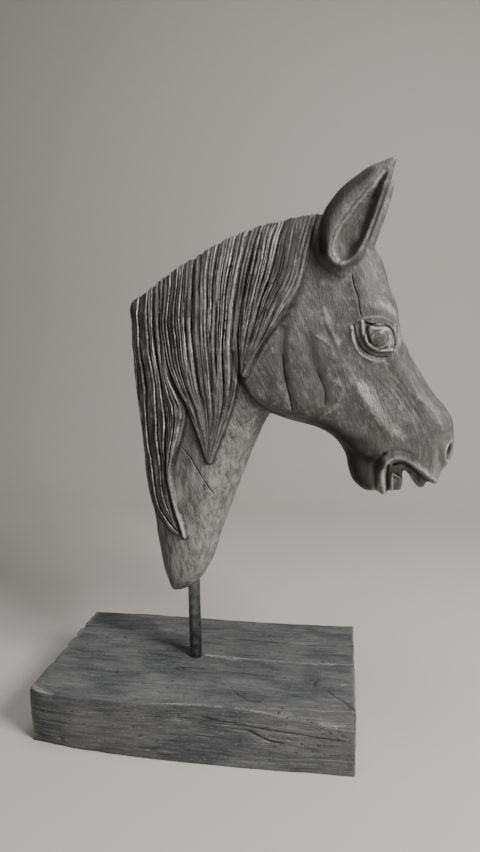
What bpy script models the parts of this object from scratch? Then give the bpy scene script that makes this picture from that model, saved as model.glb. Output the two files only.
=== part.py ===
"""A carved wooden horse head and neck on a steel rod, standing on a weathered timber block.

Units are metres, +Z is up, and the origin is the middle of the block's underside.
The horse looks along +X, and the side of the head that carries the finer carving faces -Y.
"""
import math

import bmesh
import bpy
import numpy as np
from mathutils import Matrix, Vector

# The block.
PLINTH_LENGTH = 0.400
PLINTH_DEPTH = 0.214
PLINTH_HEIGHT = 0.072
PLINTH_BOW = 0.008          # how far the front face wanders from straight
PLINTH_BOW_STATIONS = 12
PLINTH_ARRIS = 0.0025       # the small wear on every edge
WORN_START = 0.060          # the front top edge is worn off from here to the right end
WORN_DROP = 0.020
WORN_BACK = 0.010
CHIP_SIZE = 0.014           # the broken front corner of the left end
CHIP_FACING = (-1.0, -0.8, 1.2)
SPLIT_DEPTH = 0.0025        # the open crack that runs along the top
SPLIT_LIFT = 0.2            # share of that depth by which the cutter stands out of the top
SHARP_ANGLE = 45.0          # edges that bend by more than this are worn
# Shares of the length, and of the bow, along the top and the foot of the front face.
FRONT_TOP_LINE = [(-0.5, 0.0), (-0.42, 0.9), (-0.16, 1.0), (0.0, 0.1), (0.15, -0.1), (0.5, -0.3)]
FRONT_FOOT_LINE = [(-0.5, -0.2), (-0.3, 0.9), (0.05, 1.2), (0.5, 0.3)]
BACK_LINE = [(-0.5, -0.6), (-0.3, -0.1), (0.2, -0.2), (0.5, 0.6)]
# The crack, as shares of the length and of the depth.
SPLIT_LINE = [(-0.52, 0.11), (-0.43, 0.01), (-0.37, -0.015), (-0.17, 0.0), (-0.05, -0.02),
              (0.13, -0.02), (0.26, -0.025), (0.42, 0.0), (0.52, 0.0)]

# The rod and the two blind holes that it stands in.
ROD_DIAMETER = 0.016
ROD_SHOWING = 0.102         # bare length between the block and the neck
ROD_IN_PLINTH = 0.045
ROD_IN_NECK = 0.055
ROD_X = -0.012              # the rod stands a little behind the middle of the block
ROD_SIDES = 32
ROD_BEVEL = 0.0008
CLEARANCE = 0.0003          # gap between a hole and what stands in it

# The carving. Its forms are shares of its height, drawn below on a sheet of DRAWN_HEIGHT units.
HEAD_HEIGHT = 0.520
DRAWN_HEIGHT = 520.0
DRAWN_ROD = (-12.0, 174.0)  # where the rod's axis meets the neck's foot on the drawing
UNIT = HEAD_HEIGHT / DRAWN_HEIGHT
HEAD_TRIANGLES = 8000

# Sizes in drawing units.
PLANK_HALF = 30.0           # half the thickness of the plank that a profile is sawn from
PLANK_FACE = 0.85           # share of it past which a point counts as on the plank's face
PLANK_VOXEL = 3.2
CARVING_VOXEL = 2.3
SMOOTHING_COUNT = 4
SAME_POINT = 0.01

# The profile, as the stretches between its corners, each a smooth curve.
NECK_FRONT = [(-38, 164), (-27, 167), (-12, 173), (1, 187), (16, 214), (27, 248), (40, 282),
              (54, 318), (67, 352), (80, 383), (92, 404)]
JAW = [(92, 404), (115, 396), (149, 387), (170, 374), (183, 356), (188, 336), (195, 320),
       (208, 310), (223, 309)]
LOWER_LIP = [(223, 309), (229, 304), (234, 306)]
LOWER_TEETH = [(234, 306), (237, 310)], [(237, 310), (251, 309)], [(251, 309), (253, 323)]
MOUTH_WEDGE = [(253, 323), (251, 340)], [(251, 340), (259, 331)]
UPPER_TOOTH = [(259, 331), (265, 321), (272, 314), (278, 316), (281, 324)]
UPPER_LIP = [(281, 324), (287, 320), (294, 323)]
NOSE = [(294, 323), (296, 335), (304, 346), (309, 358), (310, 372), (309, 386), (307, 400),
        (298, 414), (285, 429), (268, 456), (254, 480), (245, 506), (241, 530), (232, 553),
        (224, 580), (212, 601)]
POLL = [(212, 601), (202, 618), (182, 631), (156, 637)]
CREST = [(156, 637), (128, 633), (105, 630), (78, 624), (57, 616), (34, 607), (7, 592),
         (-29, 574), (-61, 550), (-79, 539)]
BACK = [(-79, 539), (-81, 525), (-82, 501), (-79, 465), (-73, 395), (-69, 345), (-65, 300),
        (-60, 262), (-56, 225), (-50, 192), (-44, 173), (-38, 164)]
PROFILE = [NECK_FRONT, JAW, LOWER_LIP, *LOWER_TEETH, *MOUTH_WEDGE, UPPER_TOOTH, UPPER_LIP,
           NOSE, POLL, CREST, BACK]

# Landmarks (x, z, half thickness, edge rounding) that the thickness is blended between.
LANDMARKS = [
    (-38, 172, 20, 16), (-30, 200, 27, 24), (-20, 250, 33, 34), (0, 310, 38, 42),
    (10, 380, 41, 55), (15, 450, 43, 64), (10, 520, 40, 62), (-45, 330, 33, 30),
    (-55, 420, 34, 40), (-58, 500, 31, 46), (-30, 560, 27, 46), (40, 600, 27, 44),
    (100, 620, 30, 40), (150, 618, 36, 34), (75, 470, 42, 50), (60, 400, 36, 26),
    (50, 560, 38, 60), (110, 560, 42, 56), (165, 585, 42, 46), (205, 575, 38, 30),
    (195, 535, 45, 38), (222, 500, 44, 26), (120, 470, 45, 46), (110, 425, 40, 24),
    (160, 430, 41, 34), (150, 500, 45, 60), (200, 450, 38, 44), (240, 465, 31, 24),
    (225, 415, 33, 44), (190, 385, 30, 26), (265, 425, 27, 22), (245, 385, 31, 42),
    (288, 392, 29, 22), (290, 360, 34, 24), (265, 350, 32, 24), (285, 332, 27, 12),
    (235, 345, 31, 20), (205, 350, 27, 18), (205, 326, 24, 14), (228, 318, 27, 8),
    (244, 320, 22, 6), (271, 322, 22, 7),
]
LANDMARK_REACH = 24.0

# The ears: one leaf shape, set out from the middle plane, with the far ear a little forward.
EAR_BACK = [(176, 566), (158, 580), (151, 606), (156, 630), (171, 651), (191, 667),
            (211, 678), (235, 685)]
EAR_FRONT = [(235, 685), (229, 661), (222, 639), (214, 617), (206, 596), (198, 580), (176, 566)]
EAR_HOLLOW = [(162, 600), (164, 584), (174, 576), (190, 583), (203, 606), (213, 634), (222, 668),
              (203, 657), (184, 638), (168, 614)]
EAR_HALF = 14.0
EAR_TIP_SHARE = 0.45        # how thick the tip is beside the foot
EAR_EDGE = 15.0
EAR_HOLLOW_DEPTH = 13.0
EAR_HOLLOW_EDGE = 7.0
EAR_HOLLOW_MOST = 1.5       # the hollow goes no deeper than this share of the ear's half thickness
EAR_OUT = 38.0              # from the middle plane to the ear's own middle, at its foot
EAR_SPLAY = 0.08            # how much further out it leans for each unit of height
FAR_EAR_FORWARD = 6.0
FAR_EAR_DOWN = 3.0

# Where the cheek stands proud of the neck, and by how much.
CHEEK_EDGE = [(150, 590), (136, 560), (118, 522), (90, 485), (68, 450), (70, 434), (79, 421),
              (92, 412), (112, 405)]
FACE_CORNERS = [(200, 360), (400, 260), (400, 700), (200, 640)]   # they close that line's area
CHEEK_STEP = 7.0
CHEEK_SOFTNESS = 5.0
CHEEK_TOP = 540.0           # the step dies out about this height, under the mane
CHEEK_FADE = 50.0

# The mane, as locks: each is a fan of guide lines from the crest to the tip of the lock.
LOCK_BACK = [
    [(-84, 560), (-76, 517), (-74, 448), (-68, 387), (-62, 337), (-54, 290), (-36, 262), (-14, 248)],
    [(-60, 580), (-54, 542), (-52, 472), (-48, 400), (-44, 344), (-38, 300), (-26, 270), (-14, 248)],
    [(-48, 590), (-42, 553), (-40, 489), (-33, 436), (-26, 400), (-32, 357), (-33, 319), (-14, 248)],
    [(-40, 595), (-35, 556), (-33, 501), (-25, 454), (-9, 416), (-14, 382), (-28, 341), (-27, 307),
     (-14, 249)],
]
LOCK_MIDDLE = [
    [(-40, 598), (-33, 556), (-33, 513), (-26, 469), (-8, 424), (7, 388), (19, 347)],
    [(-6, 620), (-1, 581), (-3, 518), (2, 460), (12, 412), (17, 376), (20, 347)],
    [(28, 636), (28, 597), (23, 529), (23, 465), (25, 412), (23, 376), (20, 347)],
    [(64, 648), (59, 611), (49, 551), (43, 483), (40, 424), (31, 382), (21, 347)],
    [(90, 655), (80, 612), (67, 561), (58, 505), (57, 454), (45, 406), (22, 347)],
]
LOCK_CHEEK = [
    [(92, 655), (82, 612), (70, 561), (62, 505), (63, 455)],
    [(112, 658), (104, 620), (91, 572), (77, 516), (65, 453)],
    [(134, 662), (125, 622), (114, 576), (95, 527), (67, 452)],
    [(156, 664), (146, 622), (138, 592), (129, 556), (114, 528), (93, 496), (68, 452)],
]
LOCKS = [(LOCK_BACK, 5, 5.5), (LOCK_MIDDLE, 8, 5.0), (LOCK_CHEEK, 5, 3.5)]
STRAND_DEPTH = 3.2
STRAND_ROUNDNESS = 0.7      # below 1 the grooves are narrower than the ridges
STRAND_LEVEL = 0.6          # share of a strand's depth that lies under the lock's own surface
STRAND_LEAST = 0.15         # share of its depth that a strand keeps at the tip of the lock
STRAND_TAPER = 3.0
LOCK_EDGE = 4.0

# Strokes of the gouge: (path, half width, height). Minus is cut in, plus is left standing.
STROKES = [
    ([(114, 504), (113, 470), (116, 440), (123, 418)], 5.0, -2.0),
    ([(138, 498), (148, 468), (156, 446), (160, 423)], 5.5, -1.8),
    ([(176, 466), (192, 442), (212, 418), (236, 394)], 10.0, 2.0),
    ([(226, 466), (244, 436), (262, 408)], 10.0, -1.8),
    ([(198, 532), (214, 530), (230, 522), (238, 508)], 8.0, 2.2),
    ([(199, 512), (207, 513), (217, 513), (228, 509), (233, 500)], 2.6, 2.6),
    ([(198, 510), (201, 497), (208, 487), (219, 482), (231, 481)], 2.6, 2.8),
    ([(189, 510), (193, 490), (201, 478), (212, 472), (228, 470)], 2.6, -2.6),
    ([(236, 506), (237, 493), (235, 483)], 2.8, -3.4),
    ([(223, 312), (220, 330), (223, 347), (231, 359)], 4.0, -3.0),
    ([(228, 309), (227, 330), (231, 347), (241, 356), (252, 354), (270, 342), (289, 326)], 3.6, 2.4),
    ([(296, 384), (285, 372), (290, 356)], 6.0, 2.2),
]

# Rounded forms: (x, z, half length, half breadth, tilt in degrees, height).
MOUNDS = [
    (112, 466, 52, 48, 0, 5.0), (214, 502, 32, 24, -20, 4.0), (182, 548, 22, 14, -60, -2.5),
    (206, 388, 24, 20, 0, -3.2), (262, 376, 26, 20, -30, 1.5), (206, 330, 15, 13, 0, 2.2),
    (150, 552, 26, 34, 0, -2.5), (40, 390, 22, 60, -20, -2.0),
]
EYE = (219, 498)
EYE_RADIUS = 12.0
EYE_HEIGHT = 4.5
MOUTH_INSIDE = [(230, 300), (231, 330), (235, 345), (243, 351), (252, 350), (268, 338), (284, 324),
                (288, 300)]
MOUTH_RECESS = 9.0
MOUTH_SOFTNESS = 2.2
NOSTRIL = (303, -20, 364)
NOSTRIL_RADIUS = 7.5
NOSTRIL_DEPTH = 7.0
NOSTRIL_SHAPE = (1.0, 0.8, 0.75)
FAR_SIDE = 0.7              # the hidden side is carved less deeply
SIDE_BLEND = 10.0           # the two depths meet over this distance from the middle plane
FACING_GAIN = 1.6           # skin that turns this much from sideways still gets the full height
EAR_MARGIN = 3.0
EAR_FOOT_OUT = 20.0         # the ears stand this far or more from the middle plane


def clear_scene():
    """Empty the scene so that the file can be run again."""
    for item in list(bpy.data.objects):
        bpy.data.objects.remove(item, do_unlink=True)


def new_collection(name):
    group = bpy.data.collections.new(name)
    bpy.context.scene.collection.children.link(group)
    return group


def material(name, colour, roughness, metallic=0.0):
    """Make a plain Principled material."""
    made = bpy.data.materials.new(name)
    made.use_nodes = True
    shader = made.node_tree.nodes["Principled BSDF"]
    shader.inputs["Base Color"].default_value = (*colour, 1.0)
    shader.inputs["Roughness"].default_value = roughness
    shader.inputs["Metallic"].default_value = metallic
    return made


def place_object(name, mesh, group, finish=None):
    item = bpy.data.objects.new(name, mesh)
    group.objects.link(item)
    if finish:
        mesh.materials.clear()
        mesh.materials.append(finish)
    return item


def evaluated_mesh(item):
    """Return the object's mesh with its modifiers applied."""
    graph = bpy.context.evaluated_depsgraph_get()
    return bpy.data.meshes.new_from_object(item.evaluated_get(graph))


def apply_modifiers(item):
    """Replace the object's mesh by its modified mesh."""
    mesh = evaluated_mesh(item)
    item.modifiers.clear()
    item.data = mesh
    return item


def remesh(item, voxel):
    """Rebuild the surface as one even skin."""
    skin = item.modifiers.new("Even skin", "REMESH")
    skin.mode = "VOXEL"
    skin.voxel_size = voxel
    return apply_modifiers(item)


def positions(mesh):
    flat = np.empty(len(mesh.vertices) * 3)
    mesh.vertices.foreach_get("co", flat)
    return flat.reshape(-1, 3)


def set_positions(mesh, points):
    mesh.vertices.foreach_set("co", np.ascontiguousarray(points).ravel())
    mesh.update()


def normals(mesh):
    flat = np.empty(len(mesh.vertices) * 3)
    mesh.vertex_normals.foreach_get("vector", flat)
    return flat.reshape(-1, 3)


def smooth_path(points, steps=8):
    """Sample a smooth curve through the points, ends included."""
    pts = np.array(points, float)
    if len(pts) == 2:
        return pts
    ends = [2 * pts[0] - pts[1], *pts, 2 * pts[-1] - pts[-2]]
    samples = []
    for before, start, end, after in zip(ends, ends[1:], ends[2:], ends[3:]):
        for t in np.arange(steps) / steps:
            samples.append(0.5 * (2 * start + (end - before) * t
                                  + (2 * before - 5 * start + 4 * end - after) * t ** 2
                                  + (3 * start - before - 3 * end + after) * t ** 3))
    return np.array([*samples, pts[-1]])


def closed_outline(stretches, steps=8):
    """Join smooth stretches end to end into one closed outline."""
    return np.concatenate([smooth_path(s, steps)[:-1] for s in stretches])


def path_distance(xz, path):
    """Distance from each point to an open path of straight pieces."""
    best = np.full(len(xz), 1e9)
    for start, end in zip(path, path[1:]):
        run = end - start
        along = np.clip((xz - start) @ run / (run @ run + 1e-12), 0, 1)
        best = np.minimum(best, np.hypot(*(xz - start - along[:, None] * run).T))
    return best


def outline_distance(xz, outline):
    return path_distance(xz, np.concatenate([outline, outline[:1]]))


def inside(xz, outline):
    """Tell which points lie within a closed outline."""
    result = np.zeros(len(xz), bool)
    for start, end in zip(outline, np.roll(outline, -1, axis=0)):
        if start[1] == end[1]:
            continue
        spans = (start[1] > xz[:, 1]) != (end[1] > xz[:, 1])
        crossing = start[0] + (xz[:, 1] - start[1]) / (end[1] - start[1]) * (end[0] - start[0])
        result ^= spans & (xz[:, 0] < crossing)
    return result


def signed_distance(xz, outline):
    """Distance to a closed outline, positive inside it."""
    return np.where(inside(xz, outline), 1, -1) * outline_distance(xz, outline)


def step(value, softness):
    """Rise smoothly from 0 to 1 as the value goes from minus to plus the softness."""
    t = np.clip(0.5 + 0.5 * value / softness, 0, 1)
    return t * t * (3 - 2 * t)


def sawn_plank(name, outline, group):
    """Saw an outline in the XZ plane out of a plank, centred on the XZ plane."""
    curve = bpy.data.curves.new(name, "CURVE")
    curve.dimensions = "2D"
    curve.fill_mode = "BOTH"
    curve.extrude = PLANK_HALF
    line = curve.splines.new("POLY")
    line.points.add(len(outline) - 1)
    for point, (x, z) in zip(line.points, outline):
        point.co = (x, z, 0, 1)
    line.use_cyclic_u = True
    drawn = place_object(name + " outline", curve, group)
    mesh = evaluated_mesh(drawn)
    bpy.data.objects.remove(drawn)
    mesh.transform(Matrix.Rotation(math.pi / 2, 4, "X"))
    work = bmesh.new()
    work.from_mesh(mesh)
    bmesh.ops.remove_doubles(work, verts=work.verts, dist=SAME_POINT)
    work.to_mesh(mesh)
    work.free()
    return remesh(place_object(name, mesh, group), PLANK_VOXEL)


def blended_landmarks(xz):
    """Blend thickness and rounding between the landmarks nearest to each point."""
    marks = np.array(LANDMARKS, float)
    gap = ((xz[:, None, :] - marks[None, :, :2]) ** 2).sum(2)
    weight = np.exp(-gap / (2 * LANDMARK_REACH ** 2)) + 1e-9 / (gap + 1)
    weight /= weight.sum(1, keepdims=True)
    return weight @ marks[:, 2], weight @ marks[:, 3]


def round_over(points, outline, half, edge):
    """Turn a plank's square section into a rounded one, thick in the middle."""
    depth = np.clip(signed_distance(points[:, [0, 2]], outline), 0, None)
    rim = np.clip(1 - depth / edge, 0, 1)
    thickness = half * np.sqrt(1 - rim ** 2)
    share = np.clip(points[:, 1] / (PLANK_FACE * PLANK_HALF), -1, 1)
    return share, thickness


def cheek_outline():
    """The closed area of the head in front of the edge of the cheek."""
    return np.concatenate([smooth_path(CHEEK_EDGE), FACE_CORNERS])


def rough_head(group):
    """The head and neck without ears, rounded over from the sawn profile."""
    outline = closed_outline(PROFILE)
    head = sawn_plank("head", outline, group)
    points = positions(head.data)
    half, edge = blended_landmarks(points[:, [0, 2]])
    share, thickness = round_over(points, outline, half, edge)
    xz = points[:, [0, 2]]
    head_area = step(signed_distance(xz, cheek_outline()), CHEEK_SOFTNESS)
    lower = 1 - step(xz[:, 1] - CHEEK_TOP, CHEEK_FADE)
    thickness += thickness / half * CHEEK_STEP * (head_area - 0.5) * lower
    mouth = step(signed_distance(xz, np.array(MOUTH_INSIDE, float)), MOUTH_SOFTNESS)
    thickness = np.maximum(thickness - MOUTH_RECESS * mouth * thickness / half, 0)
    points[:, 1] = share * thickness
    set_positions(head.data, points)
    return head


def rough_ear(name, side, group):
    """One ear, hollowed on its outer face; side is -1 for the near ear and 1 for the far one."""
    outline = closed_outline([EAR_BACK, EAR_FRONT])
    ear = sawn_plank(name, outline, group)
    points = positions(ear.data)
    xz = points[:, [0, 2]]
    foot, tip = EAR_BACK[0][1], EAR_BACK[-1][1]
    climb = (xz[:, 1] - foot) / (tip - foot)
    half = EAR_HALF * (1 - (1 - EAR_TIP_SHARE) * climb)
    share, thickness = round_over(points, outline, half, EAR_EDGE)
    hollow = signed_distance(xz, closed_outline([EAR_HOLLOW + EAR_HOLLOW[:1]]))
    scoop = EAR_HOLLOW_DEPTH * step(hollow - EAR_HOLLOW_EDGE / 2, EAR_HOLLOW_EDGE)
    scoop = np.minimum(scoop, EAR_HOLLOW_MOST * thickness)
    outer = share * side > 0
    points[:, 1] = share * thickness - np.where(outer, side * scoop * abs(share), 0)
    points[:, 1] += side * (EAR_OUT + EAR_SPLAY * (points[:, 2] - foot))
    if side > 0:
        points[:, 0] += FAR_EAR_FORWARD
        points[:, 2] -= FAR_EAR_DOWN
    set_positions(ear.data, points)
    return ear


def fuse(name, items, group, voxel):
    """Join closed bodies into one skin."""
    work = bmesh.new()
    for item in items:
        work.from_mesh(item.data)
        bpy.data.objects.remove(item)
    mesh = bpy.data.meshes.new(name)
    work.to_mesh(mesh)
    work.free()
    return remesh(place_object(name, mesh, group), voxel)


def guide_offset(xz, line):
    """Signed distance to a guide line, plus on its +X side, and the share of the way along it."""
    pieces = np.hypot(*np.diff(line, axis=0).T)
    before = np.concatenate([[0], np.cumsum(pieces)])
    best = np.full(len(xz), 1e9)
    side = np.ones(len(xz))
    share = np.zeros(len(xz))
    for start, end, length, done in zip(line, line[1:], pieces, before):
        run = end - start
        along = np.clip((xz - start) @ run / length ** 2, 0, 1)
        off = xz - start - along[:, None] * run
        gap = np.hypot(*off.T)
        nearer = gap < best
        best = np.where(nearer, gap, best)
        side = np.where(nearer, np.where(run[0] * off[:, 1] < run[1] * off[:, 0], -1, 1), side)
        share = np.where(nearer, (done + along * length) / before[-1], share)
    return best * side, share


def lock_field(xz, guides):
    """Place each point on a lock: its share across, its share along, and its distance off it."""
    found = [guide_offset(xz, smooth_path(g)) for g in guides]
    first, last = found[0], found[-1]
    across = np.where(first[0] < 0, 0.0, 1.0)
    along = np.where(first[0] < 0, first[1], last[1])
    gap = np.where(first[0] < 0, -first[0], np.abs(last[0]))
    for i, (left, right) in enumerate(zip(found, found[1:])):
        between = (left[0] >= 0) & (right[0] < 0)
        part = left[0] / (left[0] - right[0] + 1e-9)
        across = np.where(between, (i + part) / (len(guides) - 1), across)
        along = np.where(between, left[1] * (1 - part) + right[1] * part, along)
        past_tip = (left[1] >= 1) & (right[1] >= 1)
        gap = np.where(between, np.where(past_tip, np.minimum(left[0], -right[0]), 0), gap)
    return across, along, gap


def mane_heights(xz):
    """How far the mane stands out from the neck, and how far each strand stands out of it."""
    cover = np.zeros(len(xz))
    body = np.zeros(len(xz))
    strands = np.zeros(len(xz))
    for guides, count, rise in LOCKS:
        across, along, gap = lock_field(xz, guides)
        on_lock = 1 - step(gap - LOCK_EDGE / 2, LOCK_EDGE / 2)
        ridge = np.abs(np.sin(np.pi * across * count)) ** STRAND_ROUNDNESS - STRAND_LEVEL
        narrowing = np.clip((1 - along) * STRAND_TAPER, STRAND_LEAST, 1)
        ours = on_lock > cover
        cover = np.where(ours, on_lock, cover)
        body = np.where(ours, rise * on_lock, body)
        strands = np.where(ours, STRAND_DEPTH * narrowing * ridge * on_lock, strands)
    return body, strands


def stroke_heights(xz):
    """Sum the gouge strokes and the rounded forms."""
    height = np.zeros(len(xz))
    for path, half_width, rise in STROKES:
        gap = path_distance(xz, smooth_path(path))
        height += rise * np.exp(-(gap / half_width) ** 2)
    for x, z, half_long, half_broad, tilt, rise in MOUNDS:
        turn = math.radians(tilt)
        u = (xz[:, 0] - x) * math.cos(turn) + (xz[:, 1] - z) * math.sin(turn)
        v = (xz[:, 1] - z) * math.cos(turn) - (xz[:, 0] - x) * math.sin(turn)
        height += rise * np.exp(-(u / half_long) ** 2 - (v / half_broad) ** 2)
    from_eye = np.hypot(xz[:, 0] - EYE[0], xz[:, 1] - EYE[1]) / EYE_RADIUS
    height += EYE_HEIGHT * np.sqrt(np.clip(1 - from_eye ** 2, 0, 1))
    return height


def carve(head):
    """Push the skin in and out along its normals to carve the mane and the face."""
    points = positions(head.data)
    facing = normals(head.data)
    xz = points[:, [0, 2]]
    sideways = np.clip(np.abs(facing[:, 1]) * FACING_GAIN, 0, 1)
    depth = FAR_SIDE + (1 - FAR_SIDE) * step(-points[:, 1], SIDE_BLEND)
    ear_line = signed_distance(xz, closed_outline([EAR_BACK, EAR_FRONT]))
    on_ear = step(ear_line + EAR_MARGIN, EAR_MARGIN)
    on_ear *= step(np.abs(points[:, 1]) - EAR_FOOT_OUT, SIDE_BLEND)
    body, strands = mane_heights(xz)
    height = (stroke_heights(xz) + body) * sideways + strands
    height *= depth * (1 - on_ear)
    for side in (1, -1):
        centre = np.array(NOSTRIL) * (1, side, 1)
        gap = np.linalg.norm((points - centre) * NOSTRIL_SHAPE, axis=1)
        height -= NOSTRIL_DEPTH * np.exp(-(gap / NOSTRIL_RADIUS) ** 4)
    set_positions(head.data, points + facing * height[:, None])
    return head


def smooth(item, rounds, factor=0.5):
    work = bmesh.new()
    work.from_mesh(item.data)
    for _ in range(rounds):
        bmesh.ops.smooth_vert(work, verts=work.verts, factor=factor,
                              use_axis_x=True, use_axis_y=True, use_axis_z=True)
    work.to_mesh(item.data)
    work.free()


def thin_out(item, triangles):
    """Keep the shape with fewer triangles."""
    fewer = item.modifiers.new("Fewer faces", "DECIMATE")
    item.data.calc_loop_triangles()
    fewer.ratio = triangles / len(item.data.loop_triangles)
    fewer.use_collapse_triangulate = True
    return apply_modifiers(item)


def cylinder_cutter(name, diameter, bottom, top, group):
    """A round cutter on the rod's axis."""
    mesh = bpy.data.meshes.new(name)
    work = bmesh.new()
    bmesh.ops.create_cone(work, cap_ends=True, segments=ROD_SIDES, radius1=diameter / 2,
                          radius2=diameter / 2, depth=top - bottom)
    work.to_mesh(mesh)
    work.free()
    cutter = place_object(name, mesh, group)
    cutter.location = (ROD_X, 0, (top + bottom) / 2)
    cutter.hide_render = True
    cutter.display_type = "WIRE"
    return cutter


def cut(item, cutter):
    hole = item.modifiers.new(cutter.name, "BOOLEAN")
    hole.operation = "DIFFERENCE"
    hole.solver = "EXACT"
    hole.object = cutter


def build_head(group, cutters, finish):
    """The carved head and neck, as one piece of wood with the rod's hole in its foot."""
    head = rough_head(group)
    near = rough_ear("near ear", -1, group)
    far = rough_ear("far ear", 1, group)
    head = fuse("horse_head", [head, near, far], group, CARVING_VOXEL)
    smooth(head, SMOOTHING_COUNT)
    carve(head)
    thin_out(head, HEAD_TRIANGLES)
    points = positions(head.data)
    points -= (DRAWN_ROD[0], 0, DRAWN_ROD[1])
    points *= UNIT
    seat = PLINTH_HEIGHT + ROD_SHOWING
    points += (ROD_X, 0, seat)
    set_positions(head.data, points)
    head.data.materials.clear()
    head.data.materials.append(finish)
    mouth_of_hole = seat - (DRAWN_ROD[1] - NECK_FRONT[0][1]) * UNIT - ROD_DIAMETER
    cut(head, cylinder_cutter("neck hole", ROD_DIAMETER + 2 * CLEARANCE, mouth_of_hole,
                              seat + ROD_IN_NECK + CLEARANCE, cutters))
    return head


def build_rod(group, finish):
    """The steel rod, from the bottom of its hole in the block to the top of its hole in the neck."""
    bottom = PLINTH_HEIGHT - ROD_IN_PLINTH
    top = PLINTH_HEIGHT + ROD_SHOWING + ROD_IN_NECK
    mesh = bpy.data.meshes.new("rod")
    work = bmesh.new()
    bmesh.ops.create_cone(work, cap_ends=True, segments=ROD_SIDES, radius1=ROD_DIAMETER / 2,
                          radius2=ROD_DIAMETER / 2, depth=top - bottom)
    rims = [e for e in work.edges if len({round(v.co.z, 6) for v in e.verts}) == 1]
    bmesh.ops.bevel(work, geom=rims, offset=ROD_BEVEL, segments=1, profile=0.5,
                    affect="EDGES", material=-1)
    work.to_mesh(mesh)
    work.free()
    rod = place_object("rod", mesh, group, finish)
    rod.location = (ROD_X, 0, (top + bottom) / 2)
    return rod


def line_height(line, share):
    """Read a smooth line, given as (share along, height) points."""
    path = smooth_path(line)
    return np.interp(share, path[:, 0], path[:, 1])


def split_cutter(group):
    """A square rod laid on its edge along the crack, so that it cuts a V into the top."""
    curve = bpy.data.curves.new("split", "CURVE")
    curve.dimensions = "3D"
    curve.bevel_depth = SPLIT_DEPTH
    curve.bevel_resolution = 0
    curve.use_fill_caps = True
    line = curve.splines.new("POLY")
    line.points.add(len(SPLIT_LINE) - 1)
    above = PLINTH_HEIGHT + SPLIT_DEPTH * SPLIT_LIFT
    for point, (along, back) in zip(line.points, SPLIT_LINE):
        point.co = (along * PLINTH_LENGTH, back * PLINTH_DEPTH, above, 1)
    drawn = place_object("split line", curve, group)
    mesh = evaluated_mesh(drawn)
    work = bmesh.new()
    work.from_mesh(mesh)
    bmesh.ops.remove_doubles(work, verts=work.verts, dist=CLEARANCE / 10)
    work.to_mesh(mesh)
    work.free()
    bpy.data.objects.remove(drawn)
    cutter = place_object("split", mesh, group)
    cutter.hide_render = True
    cutter.display_type = "WIRE"
    return cutter


def slice_off(work, corner, outward):
    """Cut a flat facet through a point, and close it."""
    everything = list(work.verts) + list(work.edges) + list(work.faces)
    found = bmesh.ops.bisect_plane(work, geom=everything, plane_co=corner, plane_no=outward,
                                   clear_outer=True)
    rim = [e for e in found["geom_cut"] if isinstance(e, bmesh.types.BMEdge)]
    bmesh.ops.contextual_create(work, geom=rim)


def build_plinth(group, cutters, finish):
    """The timber block, with its bowed front, worn edges, split and the rod's hole."""
    mesh = bpy.data.meshes.new("plinth")
    work = bmesh.new()
    bmesh.ops.create_cube(work, size=1.0)
    for station in np.linspace(-0.5, 0.5, PLINTH_BOW_STATIONS + 1)[1:-1]:
        everything = list(work.verts) + list(work.edges) + list(work.faces)
        bmesh.ops.bisect_plane(work, geom=everything, plane_co=(station, 0, 0), plane_no=(1, 0, 0))
    for v in work.verts:
        front = v.co.y < 0
        line = (FRONT_TOP_LINE if v.co.z > 0 else FRONT_FOOT_LINE) if front else BACK_LINE
        bow = line_height(line, v.co.x) * PLINTH_BOW
        v.co = (v.co.x * PLINTH_LENGTH, v.co.y * PLINTH_DEPTH + (-bow if front else bow),
                (v.co.z + 0.5) * PLINTH_HEIGHT)
    sharp = [e for e in work.edges if e.calc_face_angle(0) > math.radians(SHARP_ANGLE)]
    bmesh.ops.bevel(work, geom=sharp, offset=PLINTH_ARRIS, segments=1, profile=0.5,
                    affect="EDGES", material=-1)
    end, front, top = PLINTH_LENGTH / 2, -PLINTH_DEPTH / 2, PLINTH_HEIGHT
    start = Vector((WORN_START, front, top))
    low = Vector((end, front, top - WORN_DROP))
    back = Vector((end, front + WORN_BACK, top))
    slice_off(work, start, (back - start).cross(low - start) * -1)
    corner = Vector((-end, front, top))
    slice_off(work, corner + Vector((CHIP_SIZE / 2, 0, 0)), CHIP_FACING)
    bmesh.ops.recalc_face_normals(work, faces=work.faces)
    work.to_mesh(mesh)
    work.free()
    plinth = place_object("plinth", mesh, group, finish)
    cut(plinth, split_cutter(cutters))
    cut(plinth, cylinder_cutter("plinth hole", ROD_DIAMETER + 2 * CLEARANCE,
                                PLINTH_HEIGHT - ROD_IN_PLINTH - CLEARANCE,
                                PLINTH_HEIGHT + ROD_DIAMETER, cutters))
    return plinth


def main():
    clear_scene()
    group = new_collection("driftwood horse head")
    cutters = new_collection("cutters")
    wood = material("charred grey wood", (0.11, 0.105, 0.098), 0.72)
    steel = material("dark steel", (0.055, 0.06, 0.07), 0.38, 1.0)
    timber = material("weathered timber", (0.11, 0.112, 0.112), 0.85)
    build_head(group, cutters, wood)
    build_rod(group, steel)
    build_plinth(group, cutters, timber)


main()
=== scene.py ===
# %% [markdown]
# # A carved horse head on a steel rod
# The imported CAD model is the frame: it fixes every size and place. This lesson dresses it. The
# carved head and the timber block get a finely worked skin of their own inside the CAD model's
# box, and the rod is turned again with more sides and a better steel.

import math
import time

import bmesh
import bpy
import numpy as np
from mathutils import Matrix, Vector


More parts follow.
